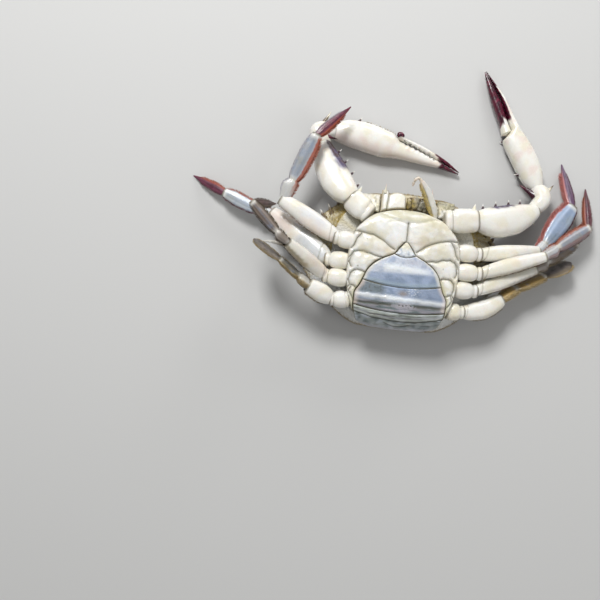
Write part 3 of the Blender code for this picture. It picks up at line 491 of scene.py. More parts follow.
# Number of the ring, scale of the outline, height and share of the wall outline
BACK_RINGS = [
    (0, 0.2, 0.0, 0.0), (1, 0.36, 0.45, 0.0), (2, 0.53, 1.6, 0.0), (3, 0.69, 3.4, 0.0), (4, 0.83, 5.9, 0.0),
    (5, 0.93, 8.6, 0.0), (6, 1.0, MARGIN_Z, 0.0), (7, 0.995, 12.3, 0.0), (8, 1.0, 14.0, 0.45),
    (9, 1.0, 16.6, 0.8), (10, 1.0, 18.6, 1.0), (11, 0.96, WALL_TOP_Z, 1.0),
]
MARGIN_RING = 6
OUTLINE_POINTS = 190
# Furrows of the back on one side, as (x, y): the H in the middle and the branches to the sides
BACK_FURROWS = [
    [(4.5, 8.0), (6.5, 0.0), (5.0, -8.0)],
    [(6.5, 1.0), (15.0, 5.0), (24.0, 14.0), (27.0, 24.0)],
    [(6.0, -3.0), (16.0, -12.0), (18.0, -26.0)],
]
# Ridges that cross the back, as (x, y)
BACK_RIDGES = [
    [(4.0, 17.0), (16.0, 19.0)],
    [(20.0, 6.5), (34.0, 4.5), (50.0, 3.8)],
    [(5.0, -9.0), (13.0, -8.0)],
]
TUBERCLES = [(0.0, 11.5), (6.0, -11.0)]
# The teeth of each front border, and the shares of the outline between which they stand
TOOTH_COUNT, TOOTH_LENGTH, TOOTH_RADIUS, TOOTH_SINK = 8, 3.4, 2.1, 3.0
TEETH_FROM, TEETH_TO = 0.235, 0.475
# The lobes of the middle of the front on one side: x and length, and where their roots and tips lie
FRONT_LOBES = ((3.0, 0.8), (8.0, 1.3), (14.2, 1.0))
LOBE_ROOT_Y, LOBE_ROOT_Z, LOBE_TIP_Y, LOBE_TIP_Z, LOBE_RADIUS = 34.6, 10.6, 38.4, 9.8, 1.7
# The long side spine: root, tip and radius
SIDE_SPINE = [(50.0, 2.6, 11.2), (SPINE_SPAN / 2, 3.6, 10.0)]
SIDE_SPINE_RADIUS = 3.7


def both_sides(half, steps):
    """Points of a whole outline that is the same on both sides, clockwise from the front."""
    right = curve(along(half)[0], np.linspace(0, 1, steps + 1))
    return np.vstack([right, right[1:-1][::-1] * (-1, 1)])


def on_walls(level):
    return smooth(MARGIN_RING + 0.6, MARGIN_RING + 2.0, level) * smooth(11.0, 10.2, level)


def back_surface():
    """The points of the back and its walls, their levels, and how near each is to the back's features."""
    outer, inner = both_sides(BACK_OUTLINE, OUTLINE_POINTS), both_sides(WALL_OUTLINE, OUTLINE_POINTS)
    levels = np.concatenate([np.linspace(0, 5.6, 56), np.linspace(5.65, 6.5, 14), np.linspace(6.6, 11, 34)])
    scale, height, wall = curve(BACK_RINGS, levels).T
    scale, wall = scale[:, None, None], wall[:, None, None]
    flat = (outer[None] * (1 - wall) + inner[None] * wall) * scale
    grid = np.dstack([flat, np.broadcast_to(height[:, None], flat.shape[:2])])
    level = np.broadcast_to(levels[:, None], flat.shape[:2])
    x, y = np.abs(grid[..., 0]), grid[..., 1]
    on_back = smooth(MARGIN_RING - 0.1, MARGIN_RING - 0.8, level)
    furrow, ridge = nearest_line(BACK_FURROWS, x, y), nearest_line(BACK_RIDGES, x, y)
    bumps = np.min([np.hypot(x - a, y - b) for a, b in TUBERCLES], axis=0)
    lift = 0.8 * bell(ridge, 1.0) + 0.9 * bell(bumps, 2.2)
    lift += 0.25 * ripple(grid, 5.0) - 0.9 * bell(furrow, 1.8)
    grid[..., 2] = np.where(on_back > 0, np.maximum(grid[..., 2] - lift * on_back, 0.0), grid[..., 2])
    grid[..., 2] += on_walls(level) * (0.9 * ripple(grid, 9.0, 3.1) + 0.25 * ripple(grid, 2.4, 8.0))
    return grid, level, furrow, ridge, bumps


def back_colour(grid, level, furrow, ridge, bumps):
    """Dark mottled back with pale spots; pale underside of the brim with a tan edge and yellow cheeks."""
    y = grid[..., 1]
    spots = smooth(0.24, 0.42, ripple(grid, 6.0, 2.0) + 0.4 * ripple(grid, 2.2, 5.0))
    cheeks = smooth(13.0, 22.0, y) * cloud(-0.3, 0.2, grid, 4.0, 6.0)
    dark = layered(
        BACK,
        (BACK_PURPLE, cloud(-0.2, 0.4, grid, 16.0, 9.0)),
        (BACK_SPOT, spots * (0.25 + 0.55 * smooth(10.0, -30.0, y))),
        (BACK_SPOT * 0.8, 0.5 * bell(ridge, 0.9) + 0.5 * bell(bumps, 2.0)),
        (DARK_OLIVE, 0.7 * bell(furrow, 1.2)),
    )
    pale = layered(
        CREAM,
        (WHITE * 0.94, cloud(-0.3, 0.35, grid, 7.0, 4.0)),
        (mix(WHITE, LEG_BLUE, 0.4), smooth(14.0, 4.0, y) * 0.8),
        (TAN, 0.7 * smooth(MARGIN_RING + 1.6, MARGIN_RING + 0.3, level)),
        (YELLOW * 0.8, 0.6 * cheeks),
        (OLIVE, 0.35 * cloud(0.3, 0.6, grid, 3.0, 11.0)),
    )
    edge = level + 0.25 * ripple(grid, 3.0, 1.0)
    return mix(dark, pale, smooth(MARGIN_RING - 0.25, MARGIN_RING + 0.35, edge))


def back_point(share):
    """A point of the back's outline and the way out of it there."""
    rows = along(BACK_OUTLINE)[0]
    here = curve(rows, share)[0]
    step = curve(rows, share + 0.01)[0] - curve(rows, share - 0.01)[0]
    return here, unit(np.array((-step[1], step[0])))


def border_teeth():
    """The teeth and lobes of the front and the long side spines, on both sides."""
    teeth = []
    for hand in (LEFT, RIGHT):
        for i in range(TOOTH_COUNT):
            here, out = back_point(TEETH_FROM + (TEETH_TO - TEETH_FROM) * i / (TOOTH_COUNT - 1))
            out = unit(out + (0.0, 0.35))
            length = TOOTH_LENGTH * (1.25 if i == 0 else 1.0)
            ends = [(*(here - out * TOOTH_SINK), MARGIN_Z), (*(here + out * length), MARGIN_Z)]
            teeth.append(spike(*mirrored(ends, hand), TOOTH_RADIUS, BROWN, WHITE))
        for x, length in FRONT_LOBES:
            ends = [(x, LOBE_ROOT_Y, LOBE_ROOT_Z), (x, LOBE_TIP_Y + length, LOBE_TIP_Z)]
            teeth.append(spike(*mirrored(ends, hand), LOBE_RADIUS, TAN, CREAM))
        teeth.append(spike(*mirrored(SIDE_SPINE, hand), SIDE_SPINE_RADIUS, BROWN, WHITE, sides=22))
    return teeth


# Places and sizes of the plate beside the mouth: middle and half-width in x, y and length, top and foot
CHEEK = {"middle": 21.2, "half": 4.8, "back": 25.6, "length": 10.0, "top": 25.6, "floor": 14.0}


def cheek(hand):
    """The raised plate beside the mouth, with a lower front on the crab's left, darkened there with painted
    shade.
    """
    u, v = unit_grid(40, 44)
    x, y = CHEEK["middle"] + CHEEK["half"] * u, CHEEK["back"] + CHEEK["length"] * v
    z = CHEEK["top"] - 0.1 * np.maximum(x - 16.4, 0.0) ** 1.5 - 0.022 * (y - 24.6) ** 2
    z -= 0.9 * smooth(0.86, 1.0, np.maximum(np.abs(u), np.abs(2 * v - 1)))
    top = raised(x * hand, y, z)
    top[..., 2] += 0.25 * ripple(top, 2.2)
    tint = layered(
        CREAM,
        (WHITE * 0.95, cloud(-0.3, 0.2, top, 3.0)),
        (YELLOW, (0.45 if hand == LEFT else 0.25) * cloud(-0.1, 0.4, top, 2.6, 4.0)),
        (OLIVE, 0.45 * cloud(0.05, 0.45, top, 1.5, 91.0)),
    )
    if hand == LEFT:
        ahead = smooth(30.0, 31.6, y + 0.41 * (x - 21.3) + 0.8 * ripple(top, 2.0, 93.0))
        top[..., 2] -= 1.8 * ahead
        # the lowered front is painted dark olive: painted shade
        tint = mix(tint, mix(PALE_OLIVE, DARK_OLIVE, 0.8 * cloud(0.05, 0.4, top, 1.2, 95.0)), 0.75 * ahead)
    return Sheet(top, CHEEK["floor"], tint)


# The belly plates and the apron

STERNUM_TOP_Z = 32.4
GAP = 0.3
STERNUM_FLOOR_Z = WALL_TOP_Z + GAP
STERNUM_HALF_WIDTH = [
    (-35.0, 21.0), (-30.0, 25.0), (-25.0, 27.5), (-18.0, 29.6), (-10.0, 30.8), (0.0, 31.0), (8.0, 30.2),
    (14.0, 28.4), (20.0, 23.6), (24.1, 18.4), (25.4, 15.0), (26.6, 11.0), (27.5, 6.6), (27.9, 3.0),
]
BELLY_FRONT_Y, BELLY_FRONT_CURVE = 28.0, 0.0115
# Borders between the plates of the chest on one side, as (x, y)
STERNUM_GROOVES = [
    [(0.0, 20.5), (0.0, 6.0)],
    [(30.5, 13.4), (24.4, 13.1), (18.5, 12.3), (14.1, 10.3), (10.6, 8.6), (6.0, 5.2)],
    [(24.4, 13.1), (27.0, 9.6), (27.9, 6.0), (29.9, 3.6)],
    [(30.4, -1.6), (28.3, 1.5), (25.3, 2.9), (21.7, 2.5), (17.2, 1.2), (12.0, 0.4)],
    [(27.9, 2.0), (29.3, -1.2), (29.7, -4.4), (28.6, -6.2)],
    [(28.9, -11.8), (28.3, -10.0), (27.1, -8.4), (25.2, -7.6), (22.7, -7.9), (19.8, -9.2)],
    [(28.4, -9.9), (29.2, -13.3), (28.2, -16.0)],
    [(30.4, -18.6), (28.2, -16.3), (25.8, -16.9), (22.0, -19.4)],
    [(27.6, -17.0), (28.6, -19.6), (26.0, -23.6), (24.0, -25.6)],
]
# Faint edge of the dome in front of the chest, which gets an olive line of painted shade
DOME_EDGE = [(0.0, 20.3), (6.5, 21.5), (13.0, 23.9), (17.0, 24.4)]

APRON_HALF_WIDTH = [
    (-38.8, 9.0), (-37.6, 15.0), (-35.0, 22.5), (-31.0, 24.2), (-26.0, 25.2), (-20.5, 25.2), (-15.0, 22.6),
    (-12.0, 21.4), (-7.0, 19.6), (-3.0, 16.6), (0.5, 11.6), (2.6, 7.0), (3.4, 5.6), (6.5, 3.6), (9.0, 1.5),
    (10.0, 0.5),
]
APRON_THICKNESS, APRON_RISE = 2.4, 1.0
# Each border of the apron's segments: y at the middle, rise at the edge, half-width
APRON_LINES = {
    "tip": (10.0, 0.0, 1.0),
    "telson_base": (1.6, 1.6, 6.0),
    "somite_6_base": (-15.0, 2.6, 22.0),
    "somite_5_base": (-29.0, 2.4, 25.0),
    "apron_base": (-38.8, 1.0, 25.0),
}


def belly_height(x, y):
    height = STERNUM_TOP_Z - 2.4 * (x / 30.0) ** 2 - 3.4 * np.maximum((y - 16.0) / 13.0, 0.0) ** 2
    return height - 7.0 * np.maximum((-y - 22.0) / 14.0, 0.0) ** 2


def half_width(table, y):
    return curve(table, np.ravel(y))[:, 0].reshape(np.shape(y))


def apron_height(x, y):
    edge = np.minimum(np.abs(x) / 25.0, 1.0)
    height = belly_height(x, np.maximum(y, -27.0)) + APRON_RISE * (1 - edge ** 4)
    return height - 12.5 * np.maximum((-y - 26.0) / 12.8, 0.0) ** 2


# Beige patches on the chest plates: middle and half-size
CHEST_BEIGE = (
    ((-15.5, 6.6), (5.5, 3.0)), ((18.0, 18.5), (4.5, 4.5)), ((16.0, 6.4), (5.5, 2.6)),
    ((-23.0, 2.0), (2.4, 4.0)), ((12.5, 12.5), (5.0, 3.0)),
)


def sternum():
    """The chest: pillowed plates with narrow furrows, and a step down to the folded apron."""
    front, rear = STERNUM_HALF_WIDTH[-1][0], STERNUM_HALF_WIDTH[0][0]
    u, v = unit_grid(221, 221)
    y = front + (rear - front) * v
    x = u * half_width(STERNUM_HALF_WIDTH, y)
    flat = raised(x, y, 0.0)
    bent_x, bent_y = np.abs(x + 0.5 * ripple(flat, 4.0, 1.0)), y + 0.5 * ripple(flat, 4.0, 7.0)
    groove = nearest_line(STERNUM_GROOVES, bent_x, bent_y)
    dome = line_distance(DOME_EDGE, np.abs(x), y)
    rim = (1 - np.abs(u)) * half_width(STERNUM_HALF_WIDTH, y)
    rim = np.minimum(rim, np.minimum(v, 1 - v) * (front - rear) + 0.15)
    tip_y = APRON_HALF_WIDTH[-1][0]
    apron = np.where(y > tip_y, np.hypot(x, y - tip_y), np.abs(x) - half_width(APRON_HALF_WIDTH, y))
    nearest = np.minimum(np.minimum(groove, rim), np.maximum(apron - 0.6, 0.0))
    z = belly_height(x, y) + 1.5 * (1 - np.exp(-nearest / 2.2)) - 1.0
    z -= 0.75 * bell(groove, 0.5) + 0.35 * bell(dome, 1.0)
    z -= 0.8 * smooth(0.9, 0.0, rim)
    z += 0.16 * ripple(flat, 2.6, 3.0)
    under = apron_height(x, y) - APRON_THICKNESS - GAP
    z = z + (np.minimum(under, z) - z) * smooth(0.55, 0.05, apron)
    warm = ripple(flat, 8.0, 5.0) + 0.3 * blot(x, y, (16.0, 12.0), (9.0, 9.0))
    peach = blot(x, y, (-9.7, 4.9), (4.2, 2.0)) + blot(x, y, (8.8, 10.2), (4.6, 2.2))
    ahead = smooth(20.4, 22.6, y + 0.010 * x ** 2) * smooth(19.0, 13.0, np.abs(x))
    tint = layered(
        WHITE,
        (COOL_WHITE, 0.8 * blot(x, y, (-9.0, 14.0), (12.0, 8.0))),
        (CREAM, 0.75 * smooth(-0.15, 0.4, warm)),
        (COOL_WHITE, 0.7 * cloud(0.05, 0.45, flat, 4.5, 12.0)),
        (CREAM * 0.78, 0.55 * smooth(17.0, 26.5, y) * cloud(-0.5, 0.3, flat, 5.0, 15.0)),
        (FRONT_CREAM, 0.75 * ahead * cloud(-0.7, 0.2, flat * (0.4, 1.0, 1.0), 2.0, 41.0)),
        (PEACH, 0.42 * peach),
        # yellow-green painted shade on the chest beside the rear of the raised apron
        (YELLOW_GREEN_SHADE, 0.5 * smooth(3.0, 0.6, apron) * smooth(-6.0, -14.0, y)),
        # grey line in each furrow, with a wider band of painted shade at its sides
        (GROOVE_LINE_AND_SHADE, 0.62 * bell(groove, 0.24) + 0.28 * bell(groove, 1.1)),
        # olive line of painted shade along the dome's faint edge
        (OLIVE, 0.30 * bell(dome, 0.5)),
        (OLIVE, 0.55 * smooth(0.6, 0.1, rim)),
        (DARK_OLIVE, 0.85 * smooth(0.75, 0.25, apron)),
        *((BEIGE, 0.6 * blot(x, y, *spot) * cloud(-0.6, 0.3, flat, 3.0, 51.0)) for spot in CHEST_BEIGE),
        (BROWN, 0.5 * cloud(0.58, 0.66, flat, 1.6, 21.0) * smooth(16.0, 22.0, np.abs(x))),
    )
    return Sheet(raised(x, y, z), STERNUM_FLOOR_Z, tint)


def apron_line(name, x):
    middle, rise, half = APRON_LINES[name]
    return middle + rise * np.minimum(np.abs(x) / half, 1.0) ** 2


def apron_sheet(front, rear, columns, rows, finish):
    """One plate of the apron. finish(x, y, flat) gives its relief and its colours."""
    u, v = unit_grid(columns, rows)
    edge_front, edge_rear = sum(APRON_LINES[front][:2]), sum(APRON_LINES[rear][:2])
    x = u * half_width(APRON_HALF_WIDTH, edge_front + (edge_rear - edge_front) * v)
    y = apron_line(front, x) * (1 - v) + apron_line(rear, x) * v + GAP * (v - 0.5)
    lift, tint = finish(x, y, raised(x, y, 0.0))
    from_side = (1 - np.abs(u)) * np.abs(x).max(axis=1)[:, None]
    depth = np.minimum(np.minimum(v, 1 - v) * (edge_front - edge_rear), from_side)
    height = apron_height(x, y)
    top = height + lift - 0.55 * smooth(0.8, 0.0, depth)
    tint = mix(tint, OLIVE, 0.75 * smooth(0.4, 0.05, depth) * (0.35 + 0.65 * smooth(0.2, 0.8, np.abs(u))))
    return Sheet(raised(x, y, top), height - APRON_THICKNESS, tint)


def streaks(flat, size, seed):
    """Noise that is drawn out across the apron."""
    return ripple(flat * (0.22, 1.0, 1.0), size, seed)


def pale_border(x, y, flat):
    """How near a point is to the apron's side edge, which is pale and uneven."""
    inside = half_width(APRON_HALF_WIDTH, y) - np.abs(x) + 0.8 * ripple(flat, 3.0, 41.0)
    return smooth(3.2, 0.6, inside)


def telson_finish(x, y, flat):
    lift = 0.45 * blot(x, y, (0.0, 5.2), (2.6, 3.4)) + 0.12 * ripple(flat, 1.2, 2.0)
    dark = 0.6 * blot(x, y, (1.6, 3.5), (0.8, 0.7)) + 0.3 * blot(x, y, (-2.2, 3.2), (0.9, 0.6))
    return lift, layered(
        CREAM,
        (APRON_WHITE, smooth(7.6, 4.4, y + 0.6 * ripple(flat, 1.6, 5.0))),
        (APRON_BLUE, 0.55 * cloud(0.05, 0.5, flat, 1.8, 7.0)),
        (APRON_DARK, dark),
    )


def somite_6_finish(x, y, flat):
    coarse, fine = ripple(flat, 4.5, 3.0), ripple(flat, 1.5, 9.0)
    band = y + 4.7 + 0.04 * x - 0.5 * coarse
    lilac = 0.45 * blot(x, y, (4.2, -0.6), (4.0, 1.4)) + 0.3 * blot(x, y, (10.5, -3.4), (2.5, 1.6))
    drawn = smooth(-0.35, 0.45, ripple(flat, 5.0, 12.0) + 0.4 * streaks(flat, 2.0, 8.0))
    ends = smooth(15.0, 9.5, np.abs(x - 1.0))
    return 0.30 * bell(band + 0.2, 2.2) + 0.08 * fine, layered(
        APRON_LIGHT,
        (APRON_BLUE, 0.7 * smooth(-0.1, 0.5, coarse + 0.4 * fine)),
        (LILAC_GREY, lilac),
        (mix(APRON_BLUE, APRON_DARK, drawn), smooth(-6.2, -8.2, y - 0.03 * x)),
        (APRON_TEAL, 0.6 * smooth(-11.6, -13.6, y - 0.006 * x ** 2)),
        # white band along the low ridge near the front of the segment: painted highlight
        (APRON_WHITE, 0.95 * ends * bell(np.abs(band), 1.9 - 0.03 * (x + 6.0), 2.4)),
        (mix(CREAM, WHITE, 0.6), 0.75 * pale_border(x, y, flat)),
    )


def somite_5_finish(x, y, flat):
    coarse, fine = ripple(flat, 3.6, 14.0), ripple(flat, 1.2, 17.0)
    band = y + 21.4 + 0.02 * x - 0.55 * coarse
    greenish = smooth(-7.0, -12.0, x + 2.0 * coarse) * smooth(-20.5, -18.0, y)
    dots = cloud(0.18, 0.3, flat, 0.62, 33.0) * blot(x, y, (6.4, -16.6), (3.4, 2.4))
    drawn = streaks(flat, 1.3, 21.0) + 0.5 * blot(x, y, (2.5, -25.2), (6.0, 2.0))
    dark = np.abs(y + 25.0 - 0.03 * np.maximum(x, 0) + 0.5 * coarse)
    sides = np.clip(smooth(-3.0, -6.5, x) + smooth(7.0, 10.0, x) + smooth(0.1, 0.4, fine), 0, 1)
    lift = 0.35 * bell(band, 1.1) + 0.14 * fine * smooth(14.0, 2.0, np.abs(x + 6.0)) + 0.12 * dots
    tint = layered(
        APRON_BLUE,
        (APRON_DARK, smooth(-0.3, 0.4, coarse + 0.3 * streaks(flat, 1.6, 16.0))),
        (mix(APRON_GREEN, APRON_OLIVE, 0.7 * smooth(0.0, 0.45, fine)), 0.75 * greenish),
        (BROWN * 1.5 + 0.05, 0.7 * blot(x, y, (1.0, -18.3), (2.8, 1.6))),
        (APRON_WHITE, np.clip(1.2 * dots, 0, 0.9)),
        (APRON_TEAL, 0.5 * smooth(-15.0, -13.4, y - 0.006 * x ** 2)),
        (mix(APRON_GREEN, LILAC_GREY, smooth(-0.35, 0.35, drawn)), smooth(-22.4, -23.6, y - 0.4 * coarse)),
        (APRON_OLIVE, 0.85 * sides * bell(dark, 0.9)),
        (APRON_WHITE, 0.9 * bell(np.abs(band), 1.35, 2.4)),
    )
    tint = tint * (1 - 0.18 * smooth(6.0, 10.0, np.abs(x + 1.0))[..., None])
    tint = mix(tint, mix(PINK, WHITE, 0.4), 0.6 * pale_border(x, y, flat))
    return lift - 0.35 * sides * bell(dark, 0.8), tint


# Folds across the base of the apron: y, bow and its middle, depth, middle and half-length across
BASE_CREASES = (
    (-30.6, 0.0042, 0.0, 0.45, 12.0, 11.0), (-31.2, 0.0100, -9.0, 0.6, -9.0, 9.0),
    (-33.6, 0.0056, 0.0, 1.0, 0.0, 40.0), (-35.2, 0.0035, 0.0, 0.35, 13.0, 9.0),
    (-36.4, 0.0260, 0.0, 0.9, 0.0, 8.5),
)


def base_finish(x, y, flat):
    coarse, fine = ripple(flat, 3.4, 24.0), streaks(flat, 1.0, 29.0)
    lift = 0.18 * coarse + 0.08 * fine
    tint = layered(
        BASE_GREY,
        (APRON_GREEN, smooth(-0.3, 0.4, coarse)),
        (APRON_LIGHT, 0.5 * cloud(0.0, 0.45, flat * (0.5, 1.0, 1.0), 2.6, 26.0)),
        (BASE_PALE, 0.4 * smooth(-28.8, -30.0, y - 0.004 * x ** 2)
         * smooth(-33.4, -31.6, y - 0.0056 * x ** 2)),
        (LILAC_GREY * 0.7, 0.7 * bell(y + 31.9 - 0.005 * x ** 2, 0.7)),
        (APRON_OLIVE, 0.45 * smooth(0.1, 0.5, fine + 0.4 * coarse)),
    )
    wave = y + 0.55 * ripple(flat, 5.5, 31.0)
    for at, bow, bow_middle, depth, middle, half in BASE_CREASES:
        crease = wave - at - bow * (x - bow_middle) ** 2
        extent = depth * smooth(half, half * 0.7, np.abs(x - middle))
        lift = lift - 0.55 * extent * bell(crease, 0.3) + 0.25 * extent * bell(crease - 0.8, 0.5)
        tint = layered(tint, (DARK_OLIVE, 0.85 * extent * bell(crease, 0.28)),
                       (BASE_PALE, 0.55 * extent * bell(crease - 0.8, 0.45)))
    return lift, mix(tint, LILAC_GREY * 1.1, 0.6 * smooth(-36.6, -38.2, y - 0.004 * x ** 2))


APRON_PLATES = [
    ("apron_telson", "tip", "telson_base", 60, 60, telson_finish),
    ("apron_somite_6", "telson_base", "somite_6_base", 150, 90, somite_6_finish),
    ("apron_somite_5", "somite_6_base", "somite_5_base", 150, 90, somite_5_finish),
    ("apron_base", "somite_5_base", "apron_base", 170, 90, base_finish),
]


# The mouth, the eyes and the feelers

def behind_mouth(x):
    """The y where the mouthparts begin, just in front of the curved front of the belly."""
    return BELLY_FRONT_Y - BELLY_FRONT_CURVE * x ** 2 + 2 * GAP


# The closed outer mouthpart: its middle and half-width in x, its length and its top, the furrow between
# the plate and the outer branch, and the front ends of the two
JAW_FOOT_MIDDLE, JAW_FOOT_HALF_WIDTH, JAW_FOOT_LENGTH, JAW_FOOT_TOP_Z = -8.9, 6.7, 9.5, 28.3
JAW_FURROW_X, JAW_PLATE_FRONT_Y, JAW_BRANCH_FRONT_Y = -12.3, 37.4, 38.2
# The spine in front of its outer branch: root, tip, radius
JAW_SPINE = ((-14.4, 36.4, 26.2), (-14.1, 41.2, 27.4), 0.8)


def closed_jaw_foot():
    """The crab's right outer mouthpart, closed: a broad plate, a furrow and its narrow outer branch."""
    u, v = unit_grid(110, 80)
    x = JAW_FOOT_MIDDLE + JAW_FOOT_HALF_WIDTH * u
    plate_front = JAW_PLATE_FRONT_Y - 0.08 * (x + 6.8) ** 2 - 0.16 * np.maximum(x + 4.6, 0.0) ** 2
    y = behind_mouth(x) * (1 - v) + np.where(x > JAW_FURROW_X + 0.1, plate_front, JAW_BRANCH_FRONT_Y) * v
    flat = raised(x, y, 0.0)
    seam = np.abs(x - JAW_FURROW_X + 0.2 * np.sin(y * 0.5))
    rim = np.minimum((1 - np.abs(u)) * JAW_FOOT_HALF_WIDTH, np.minimum(v, 1 - v) * JAW_FOOT_LENGTH)
    z = JAW_FOOT_TOP_Z - 0.02 * (x + 8.0) ** 2 - 0.018 * (y - 26.0) ** 2 + 0.12 * ripple(flat, 2.0)
    z += 0.5 * (1 - np.exp(-np.minimum(seam, rim) / 1.2)) - 1.0 * bell(seam, 0.5)
    z -= 1.1 * smooth(1.0, 0.0, rim)
    tint = layered(
        WHITE,
        (CREAM, 0.4 * cloud(-0.2, 0.4, flat, 3.0, 6.0)),
        (OLIVE, 0.75 * bell(seam, 0.35)),
        (TAN, 0.6 * smooth(0.7, 0.1, rim)),
    )
    spine = spike(*JAW_SPINE, CREAM, PINK)
    return [Sheet(raised(x, y, z), STERNUM_FLOOR_Z, tint), spine]


# Sections of a lobe of the open mouth with a radius of 1, and the lobes: root, tip, radius
MOUTH_LOBE = even((0.0, 0.5, 0.5), (0.2, 0.9, 0.8), (0.7, 1.0, 0.9), (1.0, 0.35, 0.4))
MOUTH_LOBES = [
    ((-0.6, 29.2, 23.6), (-0.5, 34.8, 23.9), 1.5), ((2.3, 29.6, 24.6), (3.0, 36.6, 24.8), 2.1),
    ((5.4, 28.8, 24.2), (6.7, 34.5, 25.3), 1.7), ((8.6, 28.1, 23.6), (7.9, 33.6, 24.2), 1.5),
    ((11.3, 27.6, 23.5), (12.2, 34.1, 23.9), 1.9),
]


def mouth_paint(share, angle, place):
    """Yellow-brown to the left of the picture, greyish plates with dark furrows to the right."""
    x = place[..., 0] + 0.8 * ripple(place, 2.0, 81.0)
    brown = mix(TAN, YELLOW, cloud(-0.3, 0.3, place, 2.0, 3.0))
    return layered(
        mix(brown, mix(CREAM, GREY, 0.4), smooth(1.5, 5.0, x)) * 0.8,
        (OLIVE, 0.6 * cloud(-0.2, 0.3, place, 2.4, 12.0)),
        (DARK_OLIVE, 0.85 * cloud(0.0, 0.35, place, 1.4, 8.0)),
        (CREAM, 0.35 * smooth(0.6, 1.0, share) * smooth(8.0, 4.0, x)),
    )


# The floor of the open mouth: its middle and half-width in x, its front end and its height
MOUTH_MIDDLE, MOUTH_HALF_WIDTH, MOUTH_FRONT_Y, MOUTH_Z = 6.6, 7.8, 35.8, 23.7


def inner_mouth():
    """The floor of the open mouth, with its lobes."""
    u, v = unit_grid(90, 50)
    x = MOUTH_MIDDLE + MOUTH_HALF_WIDTH * u
    y = behind_mouth(x) * (1 - v) + MOUTH_FRONT_Y * v
    top = raised(x, y, MOUTH_Z - 0.03 * (x - 6.0) ** 2 + 0.5 * np.cos((x - MOUTH_MIDDLE) * 1.3))
    top[..., 2] += 0.35 * ripple(top, 1.6)
    tint = layered(
        BROWN,
        (TAN, cloud(-0.3, 0.3, top, 1.8, 5.0)),
        (DARK_OLIVE, 0.7 * smooth(2.0, 5.0, x) * cloud(-0.2, 0.3, top, 1.5, 83.0)),
    )
    parts = [Sheet(top, STERNUM_FLOOR_Z, tint)]
    for root, tip, radius in MOUTH_LOBES:
        sections = [(share, *(radius * size for size in sizes)) for share, *sizes in MOUTH_LOBE]
        middle = (np.array(root) + tip) / 2 + (0.5, 0.0, 0.9)
        parts.append(limb([root, middle, tip], sections, sides=24, step=0.3, paint=mouth_paint))
    return parts


# Routes and sections of the opened outer mouthpart and of the palp at its tip
OPEN_JAW_FOOT = [(14.2, 26.0, 26.4), (12.2, 30.0, 29.6), (8.6, 36.4, 33.4), (3.8, 43.0, 38.0)]
OPEN_JAW_FOOT_SECTIONS = even((0.0, 1.6, 1.6), (0.12, 2.3, 1.5), (0.5, 2.6, 1.3), (0.85, 2.0, 1.2),
                              (1.0, 1.2, 0.8))
PALP = [(4.6, 41.8, 37.2), (1.8, 44.6, 38.8), (0.0, 43.2, 38.2), (-0.7, 40.2, 36.6)]
PALP_SECTIONS = even((0.0, 0.9, 0.8), (0.3, 0.8, 0.7), (0.34, 0.6, 0.55), (0.45, 0.8, 0.7), (0.68, 0.7, 0.6),
                     (0.72, 0.5, 0.5), (0.82, 0.6, 0.5), (1.0, 0.3, 0.3))
# The opened mouthpart's thin outer branch: root, tip, radius
OUTER_BRANCH = ((12.6, 31.0, 29.4), (10.4, 40.6, 33.6), 1.0)
# Where the opened mouthpart's keel lies round it, in radians, and the palp's joints along it
FOOT_KEEL = 1.15
PALP_JOINTS = (0.34, 0.72)


def open_foot_relief(share, angle, place):
    return -0.4 * (bell(angle - FOOT_KEEL, 0.16) * window(share, 0.08, 0.9, 0.05)) + 0.1 * ripple(place, 1.5)


def open_foot_paint(share, angle, place):
    inner = smooth(0.15, 0.5, np.cos(angle) + 0.12 * ripple(place, 1.5, 3.0))
    return layered(
        WHITE,
        (CREAM, 0.3 * cloud(-0.2, 0.4, place, 2.5)),
        (mix(YELLOW, TAN, cloud(0.0, 0.4, place, 1.2, 9.0)), inner),
        (OLIVE, 0.5 * bell(angle - FOOT_KEEL, 0.12) * window(share, 0.08, 0.9, 0.05)),
        (PINK, 0.4 * smooth(0.75, 1.0, share)),
    )


def palp_paint(share, angle, place):
    rings = sum(bell(share - at, 0.02) for at in PALP_JOINTS)
    return layered(mix(CREAM, PINK, 0.5), (TAN, 0.6 * cloud(0.0, 0.45, place, 1.2)), (OLIVE, 0.7 * rings))


# Routes and sections of the left eye on its stalk and of the left feeler
EYE = [(9.5, 34.6, 13.6), (16.0, 35.0, 13.2), (22.4, 34.4, 12.8)]
EYE_SECTIONS = even((0.0, 1.0, 1.0), (0.1, 1.5, 1.5), (0.5, 1.5, 1.5), (0.72, 2.35, 2.25), (0.84, 2.35, 2.3),
                    (0.95, 1.6, 1.6), (1.0, 0.5, 0.5))
FEELER = [(6.0, 33.6, 17.2), (10.0, 35.8, 17.0), (17.0, 36.4, 16.9), (25.0, 35.4, 16.4)]
FEELER_SECTIONS = even((0.0, 0.9, 0.9), (0.12, 1.1, 1.1), (0.3, 0.5, 0.5), (1.0, 0.28, 0.28))
FEELER_RINGS = 34


def eye_paint(share, angle, place):
    stalk = mix(TAN, BROWN, cloud(-0.2, 0.3, place, 1.5))
    return mix(stalk, BLACK, smooth(0.60, 0.66, share + 0.02 * ripple(place, 1.0)))


def feeler_wave(share):
    return np.sin(share * FEELER_RINGS * 2 * np.pi)


def feeler_relief(share, angle, place):
    return 0.05 * feeler_wave(share) * smooth(0.2, 0.35, share)


def feeler_paint(share, angle, place):
    return mix(TAN, BROWN, 0.5 + 0.5 * feeler_wave(share))


# The legs: the roots of the coxa, merus, carpus, propodus and dactyl, and the tip. In a claw's row the
# fourth place is the bend of the carpus and the fifth is the root of the hand

